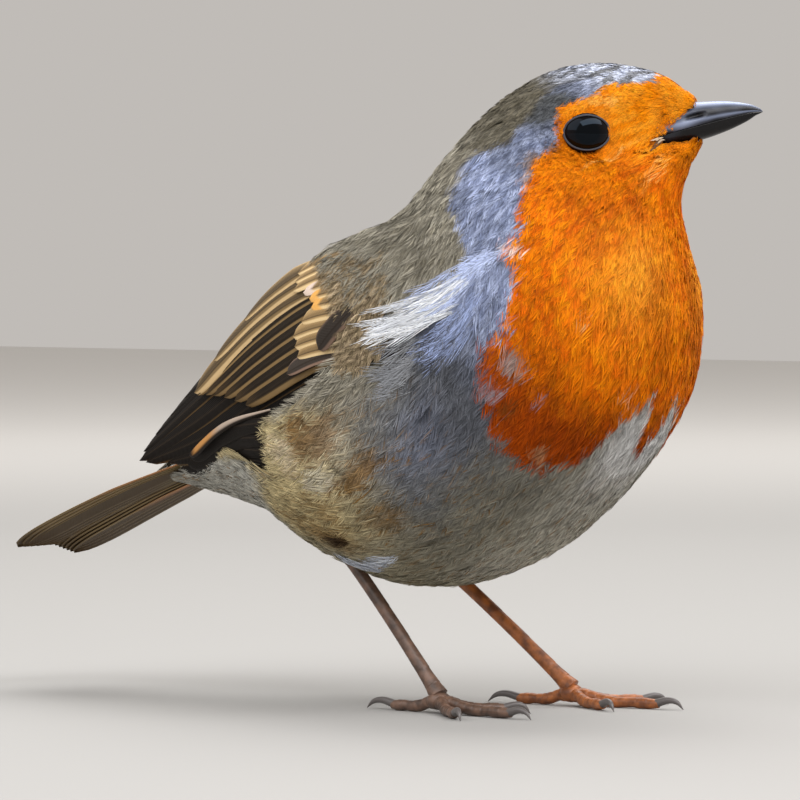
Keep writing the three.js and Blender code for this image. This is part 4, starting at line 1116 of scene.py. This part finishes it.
def lay_vanes(name, surface, feathers, colour_of, replaced, slim=0.62, sunk=0.0):
    """Lays stiff feathers on a surface: each a root, a tip, a half width, a lift and a sideways bow."""
    bm = bmesh.new()
    colours, webs = [], []
    for number, (root, tip, half, lift, bow) in enumerate(feathers):
        made = bmesh.ops.create_grid(bm, x_segments=VANE_ROWS, y_segments=VANE_COLUMNS, size=1)["verts"]
        flat = np.array([v.co for v in made])
        t, w = (flat[:, 0] + 1) / 2, flat[:, 1]
        root, tip = np.array(root, float), np.array(tip, float)
        place = root + (tip - root) * t[:, None]
        place[:, 1] += bow * np.sin(math.pi * t)
        at = surface(place[:, 0], place[:, 1], 0)
        slope_along = (surface(place[:, 0] + SLOPE_STEP, place[:, 1], 0) - at) / SLOPE_STEP
        slope_across = (surface(place[:, 0], place[:, 1] + SLOPE_STEP, 0) - at) / SLOPE_STEP
        ahead = unit(slope_along * (tip - root)[0] + slope_across * (tip - root)[1])
        normal = unit(np.cross(slope_along, slope_across))
        aside = np.cross(normal, ahead)
        aside *= np.sign((aside * slope_across).sum(-1))[:, None]
        blunt = np.sqrt(np.clip(1 - (np.clip(t - 0.80, 0, 1) / 0.2) ** 2.4, 0, 1))
        spread = half * np.clip(0.35 + 1.3 * t, 0, 1) * blunt
        reach = w * spread * np.where(w < 0, slim, 1.15)
        e = (slope_along * slope_along).sum(-1)
        f = (slope_along * slope_across).sum(-1)
        g = (slope_across * slope_across).sum(-1)
        p, q = (aside * slope_along).sum(-1), (aside * slope_across).sum(-1)
        size = e * g - f * f
        place = place + reach[:, None] * np.stack([(p * g - q * f) / size, (q * e - p * f) / size], -1)
        shaft = 0.10 * np.exp(-((w / 0.07) ** 2)) * (1 - t)
        camber = 0.25 * (1 - w**2) - 0.10
        height = lift + camber * np.minimum(1, half / 2) + shaft + 0.15 * (1 - t) - sunk * (1 - t) ** 2
        for vertex, point in zip(made, surface(place[:, 0], place[:, 1], height)):
            vertex.co = point
        length = np.linalg.norm(surface(*tip, 0.0) - surface(*root, 0.0))
        colours.append(colour_of(number, t, w))
        webs.append(np.stack([reach, t * length], -1))
    bmesh.ops.recalc_face_normals(bm, faces=bm.faces)
    piece = finished(name, bm, quill, "flight_feathers")
    paint(piece.data, np.concatenate(colours))
    vane_uv = np.concatenate(webs)[corner_vertices(piece.data)]
    piece.data.uv_layers.new(name="vane").data.foreach_set("uv", vane_uv.astype(np.float32).ravel())
    wall = piece.modifiers.new("thickness", "SOLIDIFY")
    wall.thickness = VANE_THICK * MM
    wall.offset = 0
    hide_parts(*replaced)


def plain(colour, count):
    """One colour for a number of points."""
    return np.broadcast_to(linear(colour), (count, 3)).copy()


def edged(t, w, middle, edge, outer_from, inner_from=0.82):
    """A feather's colour: its middle, a paler outer edge, a narrow inner edge and a dark shaft."""
    colour = mix(plain(middle, len(t)), edge, smooth((-w - outer_from) / 0.12))
    colour = mix(colour, edge, 0.6 * smooth((w - inner_from) / 0.1))
    return mix(colour, SHAFT_BROWN, 0.8 * np.exp(-((w / 0.06) ** 2)))


def primary_colour(number, t, w):
    colour = edged(t, w, WING_BLACK, WARM_BROWN, 0.80)
    return mix(colour, WING_BROWN, 0.35 * (number / 6) * (1 - t))


def hidden_colour(number, t, w):
    if number == len(HIDDEN) - 1:
        pale = mix(plain(STRIPE_PALE, len(t)), STRIPE_RUFOUS, smooth((t - 0.5) / 0.2))
        return mix(pale, STRIPE_DARK, np.maximum(smooth((w - 0.1) / 0.5), smooth((t - 0.88) / 0.1)))
    # the inner primaries' edges are nearly as black as their middles: partly their own dark colour and partly
    # painted shade under the folded wing
    return edged(t, w, WING_BLACK, HIDDEN_EDGE_SHADE, 0.75)


def secondary_colour(number, t, w):
    colour = edged(t, w, SECONDARY_DARK, SECONDARY_EDGE, 0.34 + 0.02 * number)
    return mix(colour, WARM_BROWN, 0.3 * smooth((t - 0.85) / 0.15))


def tertial_colour(number, t, w):
    colour = edged(t, w, TERTIAL_MIDDLE, TERTIAL_EDGE, 0.40)
    return mix(colour, TERTIAL_SHADE, 0.75 * np.exp(-(((w - 0.25) / 0.32) ** 2)))


SPOTTED_COVERTS = (4, 5, 6)  # two with an orange tip and one with a white tip, counted from below


def covert_colour(number, t, w):
    colour = edged(t, w, COVERT_BUFF, COVERT_PALE, 0.30)
    colour = mix(colour, COVERT_SHADE, 0.5 * np.exp(-(((w - 0.2) / 0.22) ** 2)))
    if number in SPOTTED_COVERTS:
        tip = smooth((t - 0.84 + 0.10 * np.abs(w)) / 0.06)
        colour = mix(colour, PINK_WHITE if number == SPOTTED_COVERTS[-1] else ORANGE_TIP, 0.9 * tip)
    return colour


def alula_colour(number, t, w):
    colour = edged(t, w, ALULA_GREY, ALULA_EDGE, 0.55)
    return mix(colour, WING_BLACK, 0.5 if number else 0.0)


SPOTS_BACK = [0, 0, 0, 0.03, 0.06, 0.055, 0.035, 0, 0, 0]  # how much shorter the spotted coverts are
# Each primary's root and tip on the blade, along and across it, the lowest first.
PRIMARIES = [
    ((0.18, 0.02), (0.930, -0.02)), ((0.18, 0.10), (0.985, 0.15)), ((0.19, 0.18), (1.0, 0.40)),
    ((0.20, 0.26), (0.985, 0.70)), ((0.22, 0.34), (0.95, 0.88)), ((0.24, 0.42), (0.905, 0.90)),
    ((0.26, 0.50), (0.86, 0.90)),
]
# The inner primaries that show below the wing, laid on the form by its share and in right angles from the
# back, and the pale stripe over them as the last.
HIDDEN = [
    ((0.235, 0.86 + 0.08 * k), (0.04 - 0.012 * k, 0.95 + 0.09 * k), 1.9, 0.35 - 0.2 * k, 0.0)
    for k in range(4)
]
HIDDEN.append(((0.200, 0.81), (0.055, 1.01), 0.75, 1.3, -0.02))
for side, side_name in ((-1, "right"), (1, "left")):
    blade = lambda along, across, lift: wing_point(side, along, across, lift)
    primaries = [(root, tip, 2.2, 0.1 + 0.13 * k, 0.02) for k, (root, tip) in enumerate(PRIMARIES)]
    secondaries = [
        ((0.26, 0.16 + 0.10 * k), (0.66 + 0.026 * k, 0.15 + 0.085 * k), 2.0, 1.15 + 0.11 * k, 0.0)
        for k in range(6)
    ]
    tertials = [
        ((0.40, 0.66), (0.80, 0.64), 3.0, 1.85, 0.03), ((0.42, 0.78), (0.745, 0.80), 3.2, 2.0, 0.02),
        ((0.42, 0.90), (0.67, 0.93), 3.0, 2.15, 0.0),
    ]
    coverts = [
        ((0.26, 0.18 + 0.08 * k), (0.46 + 0.004 * k - back, 0.22 + 0.077 * k), 1.6, 2.2 + 0.04 * k, 0.0)
        for k, back in enumerate(SPOTS_BACK)
    ]
    alulas = [((0.26, 0.17), (0.50, 0.15), 1.3, 2.2, 0.0), ((0.27, 0.50), (0.388, 0.19), 2.1, 2.9, 0.0)]
    beneath = lambda share, turns, lift: on_form(share, side * turns * math.pi / 2, lift + 0 * share)
    primary_node, secondary_node = f"wing_{side_name}_primaries", f"wing_{side_name}_secondaries"
    lay_vanes(f"primary_feathers_{side_name}", blade, primaries, primary_colour, [primary_node])
    lay_vanes(f"inner_primary_feathers_{side_name}", beneath, HIDDEN, hidden_colour, [], sunk=4.0)
    lay_vanes(f"secondary_feathers_{side_name}", blade, secondaries, secondary_colour, [secondary_node])
    lay_vanes(f"tertial_feathers_{side_name}", blade, tertials, tertial_colour, [])
    covert_node = f"wing_{side_name}_coverts"
    lay_vanes(f"greater_coverts_{side_name}", blade, coverts, covert_colour, [covert_node], sunk=1.2)
    lay_vanes(f"alula_{side_name}", blade, alulas, alula_colour, [], sunk=1.2)

# ---------------------------------------------------------------- tail
# Twelve stiff tail feathers fan out slightly from under the rump, the middle pair on top, and their roots
# are covered by the coverts above and below.
TAIL_MIDDLES = [
    (80, 66, 48), (74, 60, 44), (76, 62, 44), (80, 64, 44), (84, 68, 46), (96, 80, 56),
]  # from the outermost pair to the middle pair
TAIL_EDGE, TAIL_DARK_END, TAIL_OLIVE, TAIL_BUFF = (132, 112, 78), (66, 48, 24), (110, 96, 60), (206, 140, 92)
TAIL_ROOT, TAIL_TIP = np.array([-40, 0, 37.4]), np.array([-81.4, 0, 20.3])
TAIL_HALF_ROOT, TAIL_HALF_TIP = 6.2, 9.2
TAIL_ROLL = 0.12  # how far the tail is rolled, so that its right edge is the higher
tail_ahead = unit(TAIL_TIP - TAIL_ROOT)
tail_up = np.array([tail_ahead[2], 0, -tail_ahead[0]])


def tail_point(along, across, lift):
    """A point over the closed tail: along runs from its root to its tip, and across from -1 to 1."""
    along, across, lift = np.broadcast_arrays(along, across, lift)
    half = TAIL_HALF_ROOT + (TAIL_HALF_TIP - TAIL_HALF_ROOT) * smooth(1.2 * along)
    up = 0.3 * across**2 - TAIL_ROLL * across * half + 0.8 * np.sin(math.pi * np.clip(along, 0, 1)) + lift
    points = TAIL_ROOT + (TAIL_TIP - TAIL_ROOT) * along[..., None] + tail_up * up[..., None]
    return points + np.array([0, 1.0, 0]) * (across * half)[..., None]


def tail_colour(number, t, w):
    rank = number // 2
    colour = edged(t, w, TAIL_MIDDLES[rank], TAIL_EDGE, 0.60, inner_from=0.9)
    colour = mix(colour, TAIL_DARK_END, 0.6 * smooth((t - 0.80) / 0.15))
    if rank > 0:
        return mix(colour, TAIL_OLIVE, 0.6 * smooth((0.5 - t) / 0.3))
    return mix(colour, TAIL_BUFF, 0.6 * smooth((0.72 - t) / 0.4) * smooth((-w - 0.1) / 0.5))


tail = []
for rank in range(6):
    for side in (-1, 1):
        centre = side * (0.92 - 0.165 * rank)
        root, tip = (0.06, centre * 0.75), (0.995 - 0.006 * rank, centre * 0.78)
        tail.append((root, tip, 3.1, -0.25 + 0.07 * rank, 0.0))
lay_vanes("tail_feathers", tail_point, tail, tail_colour, ["tail"], slim=1.0)

# ---------------------------------------------------------------- legs
# Bare, slender shanks of thin scaly skin over bone, with a row of broad plates down the front, and four toes
# with ringed pads. Each leg is one piece of skin down to the claws.
# Each leg's light and dark skin colours. Both legs have one brown-orange skin: the near right leg's colours
# are greyer and darker as painted shade, and the far left leg's are orange as painted light shining through it
# from behind.
LEGS = {
    -1: {
        "heading": -10, "ankle": (-20.8, -9.2, 22.8), "foot": (-3.3, -10.8, 2.6),
        "skin": ((116, 88, 72), (72, 54, 44)),
    },
    1: {
        "heading": 6, "ankle": (-15.4, 8.8, 19.9), "foot": (5.0, 11.2, 2.6),
        "skin": ((176, 104, 52), (110, 62, 34)),
    },
}
# Each toe's turn from the foot's heading in degrees, its length and its claw's length.
TOES = {"middle": (0, 14.0, 4.2), "inner": (-36, 9.8, 3.6), "outer": (34, 10.8, 3.6), "hind": (178, 8.8, 5.4)}
TARSUS_RADIUS, FOOT_RADIUS, TOE_RADIUS = 0.92, 1.35, 0.84
SHANK_AT = (-0.06, 0.0, 0.12, 0.5, 0.86, 1.0)  # shares of the way from the ankle to the foot
SHANK_BOW = np.array([0.25, 0, 0])
TOE_JOINTS = [1.15, 1.12, 0.92, 0.98, 0.82, 0.92, 0.72]  # how thick a toe is at its joints and between them
CLAW_RADII = [0.62, 0.50, 0.34, 0.05]
PAD_WIDE, PAD_TALL, PAD_DROP = 1.75, 1.35, 0.75  # the pad under the joint of the toes
CLAW_GREY = (92, 86, 84)


def scaly(name, light, dark):
    """The leg's own skin: mottled, a little waxy, with a relief of small scales."""
    material = bpy.data.materials.new(name)
    material.use_nodes = True
    nodes, links = material.node_tree.nodes, material.node_tree.links
    shader = nodes["Principled BSDF"]
    shader.inputs["Roughness"].default_value = 0.42
    at = nodes.new("ShaderNodeTexCoord")
    mottle = nodes.new("ShaderNodeTexNoise")
    mottle.inputs["Scale"].default_value = 700
    mottle.inputs["Detail"].default_value = 4
    ramp = nodes.new("ShaderNodeValToRGB")
    ramp.color_ramp.elements[0].position, ramp.color_ramp.elements[1].position = 0.35, 0.65
    ramp.color_ramp.elements[0].color = (*linear(dark), 1)
    ramp.color_ramp.elements[1].color = (*linear(light), 1)
    links.new(at.outputs["Object"], mottle.inputs["Vector"])
    links.new(mottle.outputs["Fac"], ramp.inputs["Fac"])
    links.new(ramp.outputs["Color"], shader.inputs["Base Color"])
    scales = nodes.new("ShaderNodeTexVoronoi")
    scales.inputs["Scale"].default_value = 2200
    relief = nodes.new("ShaderNodeBump")
    relief.inputs["Strength"].default_value = 0.25
    relief.inputs["Distance"].default_value = 0.00008
    links.new(at.outputs["Object"], scales.inputs["Vector"])
    links.new(scales.outputs["Distance"], relief.inputs["Height"])
    links.new(relief.outputs["Normal"], shader.inputs["Normal"])
    return material


def plates(count, deep):
    """Overlapping plates down one side of a limb, as steps in its radius."""

    def shape(share, angle):
        down_plate = (share * count) % 1
        facing = smooth((np.cos(angle) + 0.35) / 0.5)
        return 1 + deep * facing * (down_plate**0.6 - 0.6)

    return shape


def rings_below(share, angle):
    """A toe's plates on top and soft pads underneath."""
    top = plates(9, 0.10)(share, angle)
    return top + 0.12 * np.clip(-np.cos(angle), 0, 1) * np.abs(np.sin(share * math.pi * 4))


claw_horn = bpy.data.materials.new("claw_horn")
claw_horn.use_nodes = True
claw_horn.node_tree.nodes["Principled BSDF"].inputs["Base Color"].default_value = (*linear(CLAW_GREY), 1)
claw_horn.node_tree.nodes["Principled BSDF"].inputs["Roughness"].default_value = 0.35


def toe_way(foot, angle, heights):
    """A path out from the foot, from pairs of a distance and a height."""
    return [(foot[0] + out * math.cos(angle), foot[1] + out * math.sin(angle), z) for out, z in heights]


def close_ends(bm, made):
    """Joins a bent grid's long edges and fills its two ends."""
    bmesh.ops.remove_doubles(bm, verts=made, dist=1e-3)
    rim = [e for e in bm.edges if e.is_boundary]
    bmesh.ops.holes_fill(bm, edges=rim, sides=0)


for side, side_name in ((-1, "right"), (1, "left")):
    at = LEGS[side]
    ankle, foot = np.array(at["ankle"], float), np.array(at["foot"], float)
    leg, claws = bmesh.new(), bmesh.new()
    shank = [ankle + (foot - ankle) * k + SHANK_BOW * math.sin(math.pi * k) for k in SHANK_AT]
    swell = [1.25, 1.42, 0.98, TARSUS_RADIUS, 1.02, FOOT_RADIUS]
    close_ends(leg, tube(leg, shank, swell, 220, 28, plates(9, 0.07))[0])
    pad = bmesh.ops.create_uvsphere(leg, u_segments=28, v_segments=18, radius=1)["verts"]
    for vertex in pad:
        x, y, z = vertex.co
        vertex.co = Vector(foot) + Vector((x * PAD_WIDE, y * PAD_WIDE, z * PAD_TALL - PAD_DROP))
    for toe, (turn, length, claw) in TOES.items():
        angle = math.radians(at["heading"] + side * turn)
        path = toe_way(foot, angle, [
            (0.2, 1.75), (0.22 * length, 1.5), (0.45 * length, 0.9), (0.72 * length, 0.86), (length, 0.80),
        ])
        close_ends(leg, tube(leg, path, [r * TOE_RADIUS for r in TOE_JOINTS], 120, 24, rings_below)[0])
        hook = toe_way(foot, angle, [
            (length - 0.5, 0.85), (length + 0.35 * claw, 1.35),
            (length + 0.68 * claw, 1.08), (length + 0.92 * claw, 0.10),
        ])
        close_ends(claws, tube(claws, hook, CLAW_RADII, 36, 18)[0])
    for bm in (leg, claws):
        for vertex in bm.verts:
            vertex.co.z = max(vertex.co.z, 0)
        bmesh.ops.recalc_face_normals(bm, faces=bm.faces)
    bare_leg = finished(f"bare_leg_{side_name}", leg, scaly(f"leg_skin_{side_name}", *at["skin"]), "leg_skin")
    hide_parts(f"tarsus_{side_name}", *[f"toe_{side_name}_{toe}" for toe in TOES])
    claw_piece = finished(f"claws_{side_name}", claws, claw_horn, "claw")
    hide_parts(*[f"claw_{side_name}_{toe}" for toe in TOES])

# ---------------------------------------------------------------- floor
# The stand's floor is a flat board in matt pale paint, wide enough that its edge lies far behind the bird. Its
# paint turns paler away from the bird, where less of the light falls. The bird only stands on it.
FLOOR_HALF = 1.5  # metres
FLOOR_NEAR, FLOOR_FAR = 0.45, 1.0  # metres from the bird where the paler part begins and is complete
FLOOR_GREY, FLOOR_PALE = (0.36, 0.35, 0.335, 1), (0.72, 0.70, 0.67, 1)
floor = bmesh.new()
bmesh.ops.create_grid(floor, x_segments=1, y_segments=1, size=FLOOR_HALF)
floor_mesh = bpy.data.meshes.new("floor")
floor.to_mesh(floor_mesh)
floor.free()
pale = bpy.data.materials.new("pale_floor")
pale.use_nodes = True
floor_nodes, floor_links = pale.node_tree.nodes, pale.node_tree.links
floor_place = floor_nodes.new("ShaderNodeTexCoord")
distance = floor_nodes.new("ShaderNodeVectorMath")
distance.operation = "LENGTH"
paler = floor_nodes.new("ShaderNodeValToRGB")
paler.color_ramp.interpolation = "EASE"
paler.color_ramp.elements[0].position, paler.color_ramp.elements[1].position = FLOOR_NEAR, FLOOR_FAR
paler.color_ramp.elements[0].color, paler.color_ramp.elements[1].color = FLOOR_GREY, FLOOR_PALE
floor_links.new(floor_place.outputs["Object"], distance.inputs[0])
floor_links.new(distance.outputs["Value"], paler.inputs["Fac"])
floor_links.new(paler.outputs["Color"], floor_nodes["Principled BSDF"].inputs["Base Color"])
floor_nodes["Principled BSDF"].inputs["Roughness"].default_value = 0.9
floor_mesh.materials.append(pale)
floor_piece = bpy.data.objects.new("floor", floor_mesh)
bpy.context.scene.collection.objects.link(floor_piece)

# ---------------------------------------------------------------- lights
# Pale room light from all round, and three soft boxes of white cloth over lamps, hung above the bird: a long
# bright one ahead of it, a weaker one at its right side to fill the shadows, and one at its left side.
ROOM_COLOUR, ROOM_STRENGTH = (0.60, 0.57, 0.54, 1), 0.88
LIGHT_AWAY = 0.9  # metres from the bird to each soft box
AIM = np.array([-11.85, -7.99, 44.3]) + ORIGIN  # the middle of the bird, which lights and camera look at
world = bpy.data.worlds.new("studio")
world.use_nodes = True
world.node_tree.nodes["Background"].inputs["Color"].default_value = ROOM_COLOUR
world.node_tree.nodes["Background"].inputs["Strength"].default_value = ROOM_STRENGTH
bpy.context.scene.world = world


def towards(turn, rise):
    """The direction at a compass turn from the bird's right side and a height, both in radians."""
    return np.array([math.sin(turn) * math.cos(rise), -math.cos(turn) * math.cos(rise), math.sin(rise)])


def soft_light(name, turn, rise, size, watts, colour):
    """A studio soft box that looks at the bird from a compass turn and a height, in degrees."""
    lamp = bpy.data.lights.new(name, "AREA")
    lamp.shape = "RECTANGLE"
    lamp.size, lamp.size_y = size
    lamp.energy = watts
    lamp.color = colour
    light = bpy.data.objects.new(name, lamp)
    way = Vector(towards(math.radians(turn), math.radians(rise)))
    light.location = Vector(AIM * MM) + way * LIGHT_AWAY
    light.rotation_euler = way.to_track_quat("Z", "Y").to_euler()
    bpy.context.scene.collection.objects.link(light)


soft_light("key", 70, 50, (1.3, 0.42), 9.5, (0.98, 0.98, 1.0))
soft_light("fill", -20, 40, (0.9, 0.9), 4.2, (0.94, 0.97, 1.0))
soft_light("back", 205, 60, (0.7, 0.7), 6.5, (1.0, 1.0, 1.0))

# ---------------------------------------------------------------- camera
# A camera with a long lens, almost level with the bird and 34 degrees forward of its right side. It stands
# far enough away that the near and far parts are drawn at almost one scale.
CAMERA_TURN, CAMERA_RISE = math.radians(34), math.radians(2)
LENS, SENSOR, SHOWN = 300.0, 36.0, 114.3  # the lens, the sensor's width and the width in view, in millimetres
towards_camera = towards(CAMERA_TURN, CAMERA_RISE)
camera_data = bpy.data.cameras.new("camera")
camera_data.lens = LENS
camera_data.sensor_width = SENSOR
camera_data.clip_start, camera_data.clip_end = 0.05, 10
camera = bpy.data.objects.new("camera", camera_data)
camera.location = Vector((AIM + towards_camera * LENS * SHOWN / SENSOR) * MM)
camera.rotation_euler = Vector(towards_camera).to_track_quat("Z", "Y").to_euler()
bpy.context.scene.collection.objects.link(camera)
bpy.context.scene.camera = camera
bpy.context.scene.view_settings.view_transform = "Standard"
